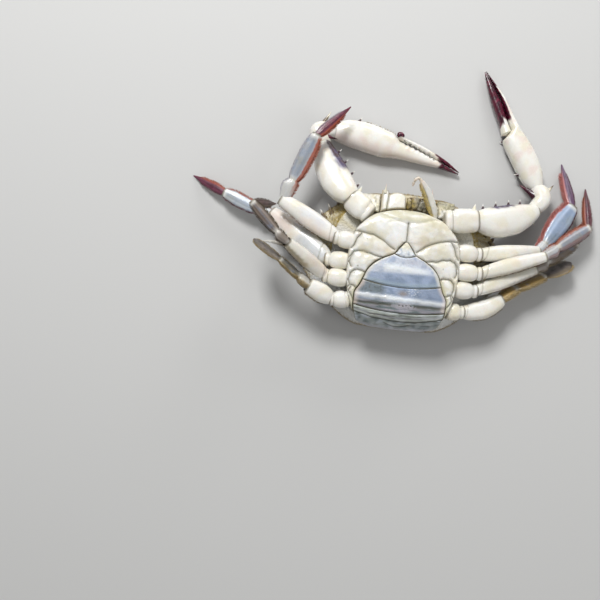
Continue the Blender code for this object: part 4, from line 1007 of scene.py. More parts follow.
CHELIPED_JOINTS = {
    LEFT: [(19.0, 24.2, 25.0), (37.6, 26.8, 24.0), (71.6, 38.6, 12.0), (75.8, 44.8, 10.2), (73.8, 50.0, 7.4),
           (37.4, 115.3, 3.4)],
    RIGHT: [(-20.5, 22.5, 25.0), (-32.2, 31.0, 23.6), (-49.7, 62.0, 11.4), (-54.6, 68.4, 10.2),
            (-46.9, 70.6, 7.4), (28.3, 54.9, 3.4)],
}
WALKING_JOINTS = {
    (2, LEFT): [(28.0, 8.0, 26.2), (41.4, 8.3, 23.4), (75.8, 14.3, 15.0), (79.2, 18.6, 14.2),
                (93.7, 41.8, 11.0), (88.0, 67.6, 0.1)],
    (2, RIGHT): [(-27.0, 7.4, 26.2), (-38.4, 8.8, 25.6), (-70.2, 26.2, 24.5), (-65.0, 38.8, 26.2),
                 (-55.8, 63.0, 27.0), (-38.4, 82.1, 23.0)],
    (3, LEFT): [(29.0, -2.6, 26.2), (42.6, -2.3, 25.0), (77.6, 11.1, 23.5), (83.2, 15.7, 21.0),
                (103.5, 30.7, 13.0), (103.4, 54.8, 0.1)],
    (3, RIGHT): [(-29.0, -3.6, 26.2), (-41.8, -3.4, 23.4), (-75.4, 19.0, 11.0), (-82.0, 20.2, 10.4),
                 (-103.6, 28.2, 8.0), (-124.0, 37.0, 0.1)],
    (4, LEFT): [(28.6, -12.6, 26.0), (41.2, -12.2, 23.0), (74.7, 3.8, 17.0), (81.4, 9.2, 15.0),
                (98.0, 22.2, 10.0), (108.0, 40.1, 0.1)],
    (4, RIGHT): [(-28.6, -13.6, 26.0), (-42.2, -12.6, 25.2), (-64.2, 1.6, 43.0), (-68.4, 4.9, 43.4),
                 (-85.1, 20.6, 44.0), (-73.4, 22.9, 31.5)],
    (5, LEFT): [(25.6, -25.2, 23.8), (35.6, -24.6, 21.8), (57.6, -15.4, 16.0), (65.2, -8.6, 13.0),
                (81.8, 1.6, 9.6), (98.0, 11.0, 6.6)],
    (5, RIGHT): [(-26.0, -24.6, 23.8), (-37.2, -25.2, 24.4), (-50.3, -19.7, 28.0), (-57.6, -14.5, 30.0),
                 (-67.2, -7.3, 31.5), (-83.5, 2.5, 31.0)],
}
# Spines of each claw's carpus: root, tip, radius, colours of the root and the tip
CARPUS_SPINES = {
    LEFT: [((73.4, 45.6, 10.0), (62.6, 51.8, 9.4), 2.7, DEEP_MAROON, MAROON),
           ((77.6, 47.6, 10.2), (81.8, 53.4, 11.0), 1.9, CREAM, BROWN)],
    RIGHT: [((-52.5, 66.8, 12.0), (-43.2, 64.9, 14.6), 1.7, MAROON, DEEP_MAROON),
            ((-54.0, 71.0, 10.4), (-48.8, 80.8, 10.8), 2.0, BROWN, CREAM)],
}
# How much wider than the table the merus of a walking leg is, and of some of them
PLAIN_MERUS_WIDTH = 0.98
MERUS_WIDTH = {(2, LEFT): 1.08, (2, RIGHT): 1.22, (3, RIGHT): 1.42}
# How much wider than the table the lower segments of some legs are
LOWER_WIDTH = {(2, RIGHT): 1.12, (4, RIGHT): 0.74}
# The left swimming leg's merus bends here
SWIM_MERUS_BEND = (47.4, -22.0, 19.0)
# How far a segment goes back into the one before it and on round the joint at its end
ROOT_SINK, END_WRAP = 1.8, 1.2
# How far the flat end of each swimming leg is turned about its own length, in degrees
SWIM_ROLL = {LEFT: -58.0, RIGHT: 71.0}

CHELIPED_COXA = [(0.0, 2.4, 2.4, 2.0, 2.0), (0.06, 5.2, 5.0, 4.0, 3.0), (0.14, 6.6, 6.2, 4.8, 3.4),
                 (0.21, 6.5, 6.2, 4.8, 3.4), (0.27, 6.1, 6.0, 4.6, 3.5), (0.4, 6.9, 6.7, 5.2, 3.7),
                 (0.65, 6.9, 6.8, 5.0, 4.2), (0.9, 6.5, 6.3, 5.0, 5.0), (1.0, 5.7, 5.5, 4.7, 4.7)]
CHELIPED_MERUS = [(0.0, 3.4, 4.0, 3.4, 3.4), (0.07, 5.2, 6.8, 5.0, 5.0), (0.2, 5.8, 10.0, 5.8, 5.8),
                  (0.4, 5.6, 12.2, 6.3, 6.0), (0.6, 5.0, 12.2, 6.3, 5.8), (0.8, 3.8, 10.0, 5.9, 5.4),
                  (0.93, 3.0, 7.4, 5.2, 4.8), (1.0, 2.7, 5.6, 4.5, 4.3)]
CHELIPED_CARPUS = [(0.0, 2.8, 2.8, 2.8, 2.8), (0.12, 4.0, 4.2, 4.2, 4.2), (0.45, 4.6, 5.2, 5.6, 5.4),
                   (0.75, 4.7, 5.6, 5.7, 5.4), (0.93, 4.6, 4.8, 5.2, 5.2), (1.0, 4.2, 4.2, 4.4, 4.4)]
# The hand: share of the length, half-height, edge on the movable finger's side, line where the
# fingers meet, and edge on the fixed finger's side
HAND_SECTIONS = {
    LEFT: [(0.0, 3.2, 3.4, 0.6, 3.4), (0.05, 4.8, 4.8, 0.6, 4.9), (0.14, 5.9, 6.4, 0.6, 6.9),
           (0.28, 6.4, 7.2, 0.6, 7.6), (0.4, 6.0, 7.4, 0.5, 6.6), (0.5, 5.0, 6.3, 0.3, 5.2),
           (0.56, 4.2, 5.2, 0.0, 4.8), (0.75, 3.0, 4.1, -1.4, 4.2), (0.88, 2.0, 2.6, -0.9, 2.4),
           (1.0, 0.5, 0.7, -0.1, 0.6)],
    RIGHT: [(0.0, 3.2, 4.0, 7.2, 3.8), (0.05, 4.8, 7.0, 7.2, 4.8), (0.14, 5.9, 9.9, 7.2, 5.4),
            (0.28, 6.4, 11.1, 7.2, 5.6), (0.4, 6.0, 10.5, 7.2, 5.3), (0.5, 5.0, 9.7, 7.0, 3.6),
            (0.56, 4.2, 9.4, 6.4, 2.8), (0.75, 3.0, 7.4, 4.3, 1.4), (0.88, 2.0, 4.9, 2.4, 0.5),
            (1.0, 0.5, 1.1, 0.3, 0.5)],
}
# Share of the hand where the fingers part, and how far back from it the movable finger begins
FINGER_START, FINGER_ROOT = 0.5, 0.02
HAND_ROWS = 420
# The knuckle of the folded right claw's movable finger, which stands out past the palm's edge
KNUCKLE = [(-9.6, 73.2, 6.8), (-5.4, 72.3, 6.8)]
KNUCKLE_SECTIONS = even((0.0, 0.9, 0.9), (0.25, 1.7, 1.6), (0.6, 1.8, 1.7), (1.0, 0.8, 0.8))
# Share of the hand where the dark tip of each finger begins
DARK_FROM = {("palm", LEFT): 0.85, ("finger", LEFT): 0.60, ("palm", RIGHT): 0.84, ("finger", RIGHT): 0.82}
# Dark spots of each hand: middle and half-sizes on the ground plan
HAND_SPOTS = {
    LEFT: [((48.8, 78.4), (1.0, 1.1)), ((48.9, 74.6), (0.6, 0.8))],
    RIGHT: [((-7.8, 73.2), (2.6, 1.9)), ((-13.6, 75.4), (0.8, 0.7))],
}
# The rough brown crest behind the knuckle of the right hand
HAND_CREST = [(-18.5, 76.6), (-9.5, 74.2)]
# The line where the fingers of the right hand meet, along which dark dashes of painted shade stand for the
# gaps between the teeth
FINGER_LINE = [(-5.0, 69.4), (13.2, 61.0)]

COXA = even((0.0, 2.4, 2.3), (0.06, 3.9, 3.4, 3.2), (0.16, 4.8, 4.0, 3.7), (0.36, 5.1, 4.4, 4.0),
            (0.58, 4.8, 4.2, 3.9), (0.72, 4.3, 3.8, 3.6), (0.8, 3.5, 3.3, 3.2), (0.84, 3.6, 3.4, 3.3),
            (0.92, 3.9, 3.6, 3.4), (1.0, 3.6, 3.4, 3.3))
MERUS = [(0.0, 2.2, 2.2, 2.0, 2.0), (0.08, 3.3, 3.3, 3.0, 2.9), (0.17, 3.8, 3.8, 3.3, 3.1),
         (0.45, 4.4, 4.4, 3.6, 3.4), (0.85, 3.6, 3.5, 3.1, 3.0), (1.0, 2.9, 2.9, 2.7, 2.7)]
LOWER_LEG = [(0.0, 1.8, 1.8, 1.7, 1.7), (0.1, 2.9, 2.9, 2.5, 2.5), (0.24, 3.2, 4.2, 2.6, 2.5),
             (0.31, 2.8, 2.8, 2.3, 2.3), (0.335, 2.2, 2.2, 1.9, 1.9), (0.36, 2.7, 2.7, 2.1, 2.1),
             (0.45, 3.6, 3.5, 2.1, 2.0), (0.75, 4.0, 3.9, 2.0, 1.9), (0.94, 3.0, 3.0, 1.9, 1.8),
             (1.0, 2.4, 2.4, 1.7, 1.7)]
# Where the carpus and the propodus meet on a plain lower leg, the broad one and a swimming leg's
JOINT_SHARE, BROAD_JOINT_SHARE, SWIM_JOINT_SHARE = 0.335, 0.235, 0.41
# The second left leg has a shorter carpus and a broader propodus than the others
BROAD_LOWER_LEG = [(0.0, 1.8, 1.8, 1.7, 1.7), (0.07, 2.9, 2.9, 2.5, 2.5), (0.17, 3.2, 3.8, 2.6, 2.5),
                   (0.215, 3.0, 3.0, 2.3, 2.3), (0.235, 2.4, 2.4, 1.9, 1.9), (0.26, 3.0, 3.0, 2.1, 2.1),
                   (0.36, 4.4, 4.3, 2.1, 2.0), (0.65, 5.6, 5.5, 2.0, 1.9), (0.92, 4.0, 3.9, 1.9, 1.8),
                   (1.0, 2.6, 2.6, 1.7, 1.7)]
DACTYL = [(0.0, 1.2, 1.2, 0.9, 0.9), (0.1, 2.1, 2.1, 1.4, 1.4), (0.3, 2.7, 2.6, 1.5, 1.5),
          (0.65, 2.0, 1.9, 1.2, 1.2), (1.0, 0.35, 0.35, 0.35, 0.35)]
SWIM_MERUS = even((0.0, 2.8, 2.4), (0.12, 4.2, 3.6), (0.5, 5.3, 4.4, 4.2), (0.88, 4.6, 3.8), (1.0, 3.6, 3.2))
SWIM_LOWER_LEG = even((0.0, 2.2, 1.9), (0.1, 3.6, 2.9), (0.28, 4.6, 3.0), (0.38, 3.9, 2.5), (0.41, 3.2, 2.0),
                      (0.45, 4.0, 2.0), (0.6, 5.4, 1.7), (0.85, 5.2, 1.4), (1.0, 3.4, 1.1))
PADDLE = even((0.0, 2.0, 0.6), (0.1, 4.2, 0.85), (0.35, 6.6, 0.85), (0.65, 6.9, 0.75), (0.88, 4.6, 0.65),
              (1.0, 0.8, 0.45))


def reach(start, end, before=ROOT_SINK, after=END_WRAP):
    """Lengthen a straight run at both ends."""
    start, end = np.asarray(start, float), np.asarray(end, float)
    ahead = unit(end - start)
    return start - ahead * before, end + ahead * after


def shell_paint(share, angle, place, belly=WHITE, back=BACK, border=-0.15, pink=0.15, spots=0.5, bands=()):
    """Colours of a leg segment: its belly side, its mottled back side, and dark rings at some shares."""
    up = np.sin(angle) + 0.28 * ripple(place, 4.0, 19.0)
    mottled = mix(back, BACK_SPOT, spots * cloud(0.12, 0.4, place, 3.2, 14.0))
    return layered(
        belly,
        (belly * (0.93, 0.89, 0.74), 0.6 * cloud(-0.1, 0.45, place, 6.0, 4.0)),
        (PINK, pink * cloud(0.0, 0.45, place, 5.0, 9.0)),
        (mottled, smooth(border + 0.18, border - 0.28, up)),
        *((OLIVE, 0.85 * bell(share - at, 0.012)) for at in bands),
    )


# The dark patch on each claw's merus: shares of the length, and where it begins across
CLAW_PATCH = {LEFT: ((0.30, 0.64), (0.72, 0.9)), RIGHT: ((0.46, 0.99), (0.30, 0.55))}


def claw_merus_paint(side, share, angle, place):
    (low, high), (faint, full) = CLAW_PATCH[side]
    grain = ripple(place, 2.6, 2.0)
    along_it = window(share + 0.03 * grain, low, high, 0.06)
    across = np.cos(angle) + 0.14 * grain
    ink = mix(PURPLE, DEEP_MAROON, np.clip(smooth(0.0, 0.5, grain) + smooth(0.74, 0.86, share), 0, 1))
    return layered(
        shell_paint(share, angle, place, back=BACK_PURPLE),
        (PALE_BLUE, 0.4 * (smooth(faint - 0.25, full, across) * along_it)),
        (ink, 0.95 * (smooth(faint, full, across) * along_it)),
    )


def hand_paint(side, part, share, angle, place):
    """White hand with a pink blush, purple mottling behind and dark tips."""
    root = FINGER_START - FINGER_ROOT
    hand_share = share if part == "palm" else root + share * (1 - FINGER_START + FINGER_ROOT)
    to_edge = np.cos(angle) * side
    x, y = place[..., 0], place[..., 1]
    grain = ripple(place, 3.5, 5.0)
    tint = shell_paint(share, angle, place, belly=WHITE * 1.03, back=BACK_PURPLE, pink=0.45, border=-0.3)
    if side == RIGHT:
        crest = bell(line_distance(HAND_CREST, x, y), 1.1)
        to_line = line_distance(FINGER_LINE, x, y)
        tooth_gap_shade = cloud(-0.1, 0.3, place * (1.0, 0.6, 1.0), 0.9, 37.0)
        tint = layered(
            tint,
            (mix(WHITE, PINK, 0.6), 0.6 * smooth(0.1, -0.6, to_edge)),
            (BROWN, 0.85 * crest * cloud(-0.2, 0.25, place, 1.0, 31.0)),
            (WHITE, 0.8 * smooth(2.2, 1.2, to_line)),
            # dark dashes along the meeting line: painted shade of the gaps between the teeth
            (DARK_OLIVE * 0.6, 0.9 * tooth_gap_shade * smooth(0.75, 0.4, to_line)),
        )
    for spot in HAND_SPOTS[side]:
        tint = mix(tint, DEEP_MAROON, np.clip(1.7 * blot(x, y, *spot), 0, 1))
    start, early = DARK_FROM[(part, side)], 0.05 * (to_edge > 0) * (part == "finger")
    dark = smooth(start - 0.012, start + 0.018, hand_share + 0.03 * grain + early)
    if (part, side) == ("palm", LEFT):
        inner = smooth(0.1, 0.35, to_edge + 0.1 * grain) * smooth(0.575, 0.61, hand_share + 0.02 * grain)
        dark = np.maximum(dark, inner)
    wine = layered(MAROON, (DEEP_MAROON, cloud(-0.3, 0.4, place, 2.5, 7.0)),
                   (MAROON * 3.2, 0.35 * cloud(0.2, 0.5, place, 1.6, 17.0)))
    return mix(tint, wine, dark)


def ridges(depth, count, grain, share, angle, place):
    """Low ridges along a segment's back side, and a grainy surface there."""
    below = smooth(0.1, -0.5, np.sin(angle)) * window(share, 0.06, 0.94, 0.05)
    lift = depth * below * np.cos(angle * count) ** 6
    lift = lift + grain * below * np.maximum(ripple(place, 1.0, 3.0), 0.0)
    return lift + 0.12 * ripple(place, 5.0, 8.0)


TEETH_PER_HAND = 25


def tooth(share):
    """Height of the teeth where the fingers meet, at shares of the hand's length."""
    wave = 1 - np.abs((share * TEETH_PER_HAND) % 1 * 2 - 1)
    size = 0.75 + 0.25 * np.sin(share * 61.0)
    return size * (wave - 0.5) * window(share, FINGER_START + 0.05, 0.96, 0.02) * (1.25 - share * 0.8)


# Gap between the fingers, height of the movable finger beside the hand's, and size of the teeth
FINGER_GAP, FINGER_HEIGHT = 0.4, 0.86
TOOTH_SCALE = {LEFT: 0.4, RIGHT: 1.15}


def hand_sections(side, shares, part):
    """Sections of the palm or of the movable finger, at shares of the hand's length."""
    height, outer, meeting, other = curve(HAND_SECTIONS[side], shares).T
    meeting = meeting + tooth(shares) * TOOTH_SCALE[side]
    if part == "finger":
        low, high, height = meeting + FINGER_GAP / 2, outer, height * FINGER_HEIGHT
    else:
        open_share = np.clip((shares - FINGER_START + 0.04) / 0.05, 0.0, 1.0)
        low, high = -other, outer + (meeting - FINGER_GAP / 2 - outer) * open_share
    forward, backward = (high, -low) if side == LEFT else (-low, high)
    return np.column_stack([forward, backward, height, height])


def hand_parts(side):
    """The palm with its fixed finger, and the movable finger."""
    root, tip = CHELIPED_JOINTS[side][4:]
    start = reach(root, tip, before=1.0, after=0.0)[0]
    shares = np.linspace(0, 1, HAND_ROWS)
    palm_rows = np.column_stack([shares, hand_sections(side, shares, "palm")])
    palm = limb([start, tip], palm_rows, hand=side, sides=56, step=0.28, squareness=2.2, neck=0.1,
                relief=partial(ridges, 0.5, 3, 0.35), paint=partial(hand_paint, side, "palm"))
    first = FINGER_START - FINGER_ROOT
    sections = hand_sections(side, first + (1 - first) * shares, "finger")
    middle = (sections[0, 0] - sections[0, 1]) / 2
    knuckle = smooth(0.0, 0.035, shares)[:, None]
    sections = sections * knuckle + np.array((middle + 0.9, 0.9 - middle, 1.6, 1.6)) * (1 - knuckle)
    place = np.asarray(root) * (1 - first) + np.asarray(tip) * first
    finger = limb([place, tip], np.column_stack([shares, sections]), hand=side, sides=44, step=0.26,
                  squareness=2.2, relief=partial(ridges, 0.35, 3, 0.1),
                  paint=partial(hand_paint, side, "finger"))
    return palm, finger


# How deep the spines stand in their segment
SPINE_SINK = 1.6


def side_spines(skin, places, length, radius, base_tint=DEEP_MAROON, side_angle=0.0, lean=0.5):
    """Spines on one edge of a segment, leaning to its tip."""
    spines = []
    for share in places:
        spot, out, ahead = (row[0] for row in surface_at(skin, np.array([share]), np.array([side_angle])))
        tip = spot + out * length + ahead * length * lean
        spines.append(spike(spot - out * SPINE_SINK, tip, radius, base_tint, WHITE))
    return spines


def surface_at(skin, shares, angles):
    """Places on a segment, the way out of it there, and the way along it."""
    rings, sides = len(skin.shares), skin.grid.shape[1]
    row = np.interp(shares, skin.shares, np.arange(rings))
    column = angles / (2 * np.pi) * sides - 0.5
    low, left = np.clip(row.astype(int), 0, rings - 2), np.floor(column).astype(int)
    t, u = (row - low)[:, None], (column - left)[:, None]
    near, far = left % sides, (left + 1) % sides
    before, after = (skin.grid[ring, near] * (1 - u) + skin.grid[ring, far] * u for ring in (low, low + 1))
    spots = before * (1 - t) + after * t
    middles = skin.grid.mean(axis=1)
    return spots, unit(spots - (middles[low] * (1 - t) + middles[low + 1] * t)), skin.ahead[low]


# Hair: fringes along the edges of the legs and short fuzz on the cheeks

generator = np.random.default_rng(SEED)
# Points of one hair, and the size of its patch in the unwrap
HAIR_POINTS, HAIR_PATCH = 7, 0.003


class Hairs:
    """Thin tapered hairs with three sides, bent once, each on its own patch of the unwrap."""

    def __init__(self, roots, ways, bends, lengths, radius, tints, patches):
        count = len(roots)
        across = unit(np.cross(ways, unit(generator.normal(size=(count, 3)))))
        other = np.cross(ways, across)
        turns = np.array([0.0, 2 * np.pi / 3, 4 * np.pi / 3])
        ring = across[:, None] * np.cos(turns)[:, None] + other[:, None] * np.sin(turns)[:, None]
        middle = roots + ways * lengths[:, None] * 0.5
        tip = middle + unit(ways + bends) * lengths[:, None] * 0.5
        low = roots[:, None] - ways[:, None] * 0.25 + ring * radius
        high = middle[:, None] + ring * radius * 0.65
        self.points = np.concatenate([low, high, tip[:, None]], axis=1).reshape(-1, 3)
        cells = [(0, 1, 4, 3), (1, 2, 5, 4), (2, 0, 3, 5), (3, 4, 6), (4, 5, 6), (5, 3, 6), (2, 1, 0)]
        starts = (np.arange(count) * HAIR_POINTS).tolist()
        self.faces = [tuple(i + start for i in cell) for start in starts for cell in cells]
        self.tints = np.repeat(tints, HAIR_POINTS, axis=0)
        spread = np.array([(0, 0), (0.5, 0), (1, 0), (0, 0.5), (0.5, 0.5), (1, 0.5), (0.5, 1)]) * HAIR_PATCH
        self.places = (patches[:, None] + spread).reshape(-1, 2)

    def mesh(self):
        return self.points, self.faces, self.tints


# The fuzz of the cheeks and of the brim: levels of the back's rings between which it grows, shares of
# the way round, and number, length and colour of the hairs
CHEEK_FUZZ, BRIM_FUZZ = (3600, 1.4, YELLOW * 1.1), (4200, 0.9, TAN)
CHEEK_LEVELS, CHEEK_SHARES, BRIM_LEVELS = (7.2, 10.0), ((0.12, 0.30), (0.70, 0.88)), (6.3, 7.4)


def hair_piece(name, groups):
    """A piece made of hairs, with its unwrap. It stands for no node."""
    made = piece(name, groups, [], "hair")
    places = np.vstack([group.places for group in groups])
    layer = made.data.uv_layers.new(name="OFBake")
    corners = np.empty(len(made.data.loops), dtype=np.int32)
    made.data.loops.foreach_get("vertex_index", corners)
    layer.data.foreach_set("uv", places[corners].astype(np.float32).ravel())


# The hairs of every fringe so far, which lie in rows in the unwrap
fringed = []
FRINGE_ROWS = 8
FRINGE_RADIUS, FRINGE_LEAN = 0.085, 0.7
FUZZ_RADIUS = 0.075


def fringe(skin, angle, low, high, count, length, tint, spread):
    """A fringe of hair along one edge of a segment, between two shares of its length."""
    shares = generator.uniform(low, high, count)
    angles = angle + generator.normal(0, spread, count)
    spots, out, ahead = surface_at(skin, shares, angles)
    ways = unit(out + ahead * FRINGE_LEAN + generator.normal(0, 0.12, (count, 3)))
    full = window(shares, low + 0.06, high - 0.04, 0.06)
    lengths = length * generator.uniform(0.6, 1.1, count) * (0.45 + 0.55 * full)
    tints = tint * generator.uniform(0.7, 1.2, (count, 1))
    row = len(fringed) % FRINGE_ROWS
    rows = (row + 0.1 + 0.7 * (angles / (2 * np.pi) % 1)) / FRINGE_ROWS
    patches = np.column_stack([0.02 + 0.94 * shares, rows])
    fringed.append(Hairs(spots, ways, ahead * 0.8, lengths, FRINGE_RADIUS, tints, patches))


def fuzz(grid, level, levels, shares, count, length, tint):
    """Short hair on the walls of the back, between two levels and two shares of the way round."""
    sides = grid.shape[1]
    rows = generator.uniform(*np.searchsorted(level[:, 0], levels), count)
    columns = generator.uniform(*shares, count) * sides
    row, column = rows.astype(int), columns.astype(int) % sides
    t, u = (rows % 1)[:, None], (columns % 1)[:, None]
    a, b, c = grid[row, column], grid[row, (column + 1) % sides], grid[row + 1, column]
    spots = a + (b - a) * u + (c - a) * t
    out = unit(np.cross(c - a, b - a))
    out = out * np.sign(out[:, 2:3])
    outward = unit(spots * (1, 1, 0))
    ways = unit(out + outward * 0.9 + generator.normal(0, 0.3, (count, 3)))
    lengths = length * generator.uniform(0.5, 1.15, count)
    tints = tint * generator.uniform(0.6, 1.2, (count, 1))
    patches = np.column_stack([columns / sides % 1 * 0.99, rows / len(grid) * 0.99])
    return Hairs(spots, ways, outward * 0.7, lengths, FUZZ_RADIUS, tints, patches)


# Looks of a leg: colours of the lower leg, the dactyl and the forward and backward edges, lengths of the
# two fringes, number of hairs, and edges: where the forward and the backward edge's colour begins across
# the lower leg, and how pale its carpus is
Look = namedtuple("Look", "lower dactyl front back front_length back_length hairs edges")
LEG_LOOKS = {
    (2, LEFT): Look(BLADE_BLUE, rgb(0.095, 0.045, 0.10), DUSTY_PINK, MAROON, 3.6, 1.0, 1300,
                    (0.76, -0.84, 0.75)),
    (2, RIGHT): Look(mix(LEG_BLUE, GREY, 0.35) * 0.85, rgb(0.13, 0.016, 0.040), RUST_ORANGE, LILAC_GREY,
                     1.9, 1.0, 1100, (0.42, -0.8, 0.7)),
    (3, LEFT): Look(mix(LEG_BLUE, LILAC_GREY, 0.6) * 0.74, rgb(0.085, 0.012, 0.026), RUST_BROWN, PINK_BROWN,
                    1.5, 1.0, 600, (0.55, -0.3, 0.4)),
    (3, RIGHT): Look(LEG_BLUE, rgb(0.13, 0.03, 0.06), RUST * 0.8, MAROON * 1.5, 1.6, 1.2, 500,
                     (0.74, -0.8, 0.6)),
    (4, LEFT): Look(mix(GREY * 2.2, BROWN, 0.4), rgb(0.12, 0.02, 0.04), RUST * 0.6, BROWN, 1.5, 1.2, 500,
                    (0.5, -0.6, 0.2)),
    (4, RIGHT): Look(GREY_BROWN, rgb(0.085, 0.050, 0.045), BROWN * 0.6, BROWN * 0.45, 1.3, 1.2, 600,
                     (0.6, -0.6, 0.15)),
    (5, LEFT): Look(rgb(0.42, 0.29, 0.11), GREY, TAN, TAN, 2.2, 2.2, 900, (0.9, -0.8, 0.0)),
    (5, RIGHT): Look(mix(GREY, OLIVE, 0.4), GREY * 0.8, TAN, TAN, 2.2, 2.2, 900, (0.9, -0.8, 0.8)),
}
# Tinted areas of a merus: colour, shares of its length, place and width across it, strength
MERUS_AREAS = {
    (2, LEFT): [(CREAM, (0.0, 0.3), 0.0, 0.9, 0.7), (TAN, (0.5, 0.95), -0.9, 0.25, 0.25)],
    (2, RIGHT): [(PALE_BLUE, (0.25, 0.7), 0.3, 0.5, 0.5), (PINK, (0.05, 0.6), -0.6, 0.5, 0.35)],
    (3, LEFT): [(TAN, (0.2, 0.8), -0.95, 0.22, 0.4), (CREAM, (0.0, 0.5), 0.0, 0.8, 0.6)],
    (3, RIGHT): [(PALE_BLUE * 0.85, (0.05, 0.5), 0.0, 0.8, 0.75), (PINK, (0.62, 0.98), 0.0, 0.9, 0.55),
                 (LILAC_GREY, (0.42, 0.7), 0.7, 0.35, 0.4)],
    (4, LEFT): [(CREAM, (0.0, 1.0), 0.3, 0.6, 0.5), (BROWN, (0.55, 1.0), -0.85, 0.3, 0.5)],
    (4, RIGHT): [(TAN, (0.45, 1.0), -0.75, 0.35, 0.75), (OLIVE, (0.6, 1.0), -0.5, 0.2, 0.5),
                 (PINK, (0.1, 0.6), 0.4, 0.6, 0.3)],
}


def knuckle_paint(share, angle, place):
    return mix(DEEP_MAROON, MAROON * 1.5, cloud(0.0, 0.4, place, 1.2, 85.0))


# How many grains the crest has, and the shares of the hand between which they stand
CREST_GRAINS, CREST_SHARES = 22, (0.23, 0.46)


def crest_grains(palm):
    """Small brown grains in a row along the edge of the palm, behind the knuckle."""
    shares = np.linspace(*CREST_SHARES, CREST_GRAINS) + generator.uniform(-0.004, 0.004, CREST_GRAINS)
    angles = np.pi + generator.normal(0.0, 0.16, CREST_GRAINS)
    spots, out, _ = surface_at(palm, shares, angles)
    sizes = generator.uniform(0.5, 0.95, CREST_GRAINS)
    return [spike(spot - way * 0.8, spot + way * size, size * 0.85, BROWN, mix(TAN, CREAM, 0.4), sides=8)
            for spot, way, size in zip(spots, out, sizes)]


def coxa_relief(share, angle, place):
    waist = bell(share - 0.27 - 0.06 * np.cos(angle), 0.025)
    return -0.5 * waist + 0.2 * ripple(place, 4.0, 8.0)


def lower_leg_paint(look, joint_share, share, angle, place):
    """White at the joints, coloured in between, with a keel down the middle and coloured edges."""
    colour, (front_from, back_from, pale_root) = look.lower, look.edges
    across, belly = np.cos(angle), smooth(-0.6, 0.2, np.sin(angle))
    past = smooth(joint_share, joint_share + 0.1, share)
    pale = bell(across - 0.45, 0.2) + 0.3 * bell(across + 0.5, 0.15)
    joints = smooth(0.12, 0.02, share) + 0.8 * bell(share - joint_share, 0.05)
    joints = np.clip(joints + smooth(0.9, 0.98, share), 0, 1) * belly
    uneven = across + 0.12 * ripple(place, 1.6, 63.0)
    between = window(share, 0.08, 0.97, 0.04)
    front, back = smooth(front_from, front_from + 0.16, uneven), smooth(back_from, back_from - 0.16, uneven)
    return layered(
        shell_paint(share, angle, place, colour, colour * 0.45, -0.4, 0.0, 0.25, (joint_share,)),
        (mix(colour, KEEL_BLUE, 0.6), 0.7 * (cloud(0.05, 0.45, place, 3.4, 61.0) * past) * belly),
        (np.minimum(colour * 1.5 + 0.06, 0.85), 0.6 * pale * past * belly),
        (mix(WHITE, colour, 0.3), pale_root * smooth(joint_share, joint_share - 0.07, share) * belly),
        (mix(KEEL_BLUE, colour, 0.4), 0.6 * past * belly * bell(across, 0.1)),
        (WHITE, 0.75 * joints),
        (look.front, 0.88 * (front * between) * smooth(0.05, joint_share + 0.05, share)),
        (look.back, 0.7 * (back * between)),
    )


def dactyl_paint(look, share, angle, place):
    """A dark middle with lengthwise streaks between the coloured edges, and a painted highlight along its
    top.
    """
    colour, across = look.dactyl, np.cos(angle) + 0.12 * ripple(place, 1.5, 71.0)
    return layered(
        colour,
        (colour * 0.4, cloud(-0.3, 0.4, place, 2.4, 2.0)),
        (colour * 1.8 + 0.05, 0.6 * smooth(0.2, 0.0, share)),
        (look.front, 0.8 * smooth(0.3, 0.62, across) * smooth(1.0, 0.55, share)),
        (mix(look.back, colour, 0.7), 0.75 * smooth(-0.35, -0.7, across) * smooth(1.0, 0.7, share)),
        # lighter band along the top of the dactyl: painted highlight
        (colour * 2.0 + 0.03, 0.25 * bell(np.sin(angle) - 0.9, 0.12)),
    )


def keel_relief(share, angle, place):
    """Two furrows along each face of a flat segment, which leave a keel in the middle."""
    furrows = bell(np.abs(np.cos(angle)) - 0.45, 0.16)
    return -0.28 * furrows * window(share, 0.1, 0.92, 0.06) + 0.06 * ripple(place, 3.0)


def widened(sections, width):
    """Sections with their widths changed by a factor."""
    return [(share, front * width, back * width, *heights) for share, front, back, *heights in sections]


def ischium_seam(share, angle):
    """How near a point is to the slanting seam at the root of a walking leg's merus."""
    return bell(share - 0.15 - 0.05 * np.cos(angle), 0.008)


def merus_relief(share, angle, place):
    return ridges(0.25, 2, 0.2, share, angle, place) - 0.22 * ischium_seam(share, angle)


def merus_paint(number, side, share, angle, place):
    """Colours of a walking leg's merus: its seam, and on some legs tinted areas of the belly side."""
    tint = shell_paint(share, angle, place, back=mix(BACK, LEG_BLUE, 0.35))
    belly = smooth(-0.1, 0.35, np.sin(angle))
    for colour, (low, high), middle, width, strength in MERUS_AREAS.get((number, side), ()):
        here = share + 0.05 * ripple(place, 3.0, 51.0)
        across = bell(np.cos(angle) - middle + 0.2 * ripple(place, 2.0, 53.0), width)
        tint = mix(tint, colour, strength * belly * across * window(here, low, high, 0.08))
    return mix(tint, OLIVE, 0.55 * belly * ischium_seam(share, angle))


def lower_leg_sections(number, side):
    """The sections of a carpus with its propodus, and the share where the two meet."""
    if number == 5:
        return SWIM_LOWER_LEG, SWIM_JOINT_SHARE
    if (number, side) == (2, LEFT):
        return BROAD_LOWER_LEG, BROAD_JOINT_SHARE
    return widened(LOWER_LEG, LOWER_WIDTH.get((number, side), 1.0)), JOINT_SHARE


def fringes(skin, look, high, count, scale, low, spread):
    """The fringes of both edges of a lower leg or a dactyl."""
    fringe(skin, 0.0, low, high, count, look.front_length * scale, look.front, spread)
    fringe(skin, np.pi, low, high, count, look.back_length * scale, look.back, spread)


def paddle_relief(share, angle, place):
    return 0.10 * bell(np.cos(angle), 0.12) * window(share, 0.05, 0.9, 0.05) + 0.03 * ripple(place, 2.0)


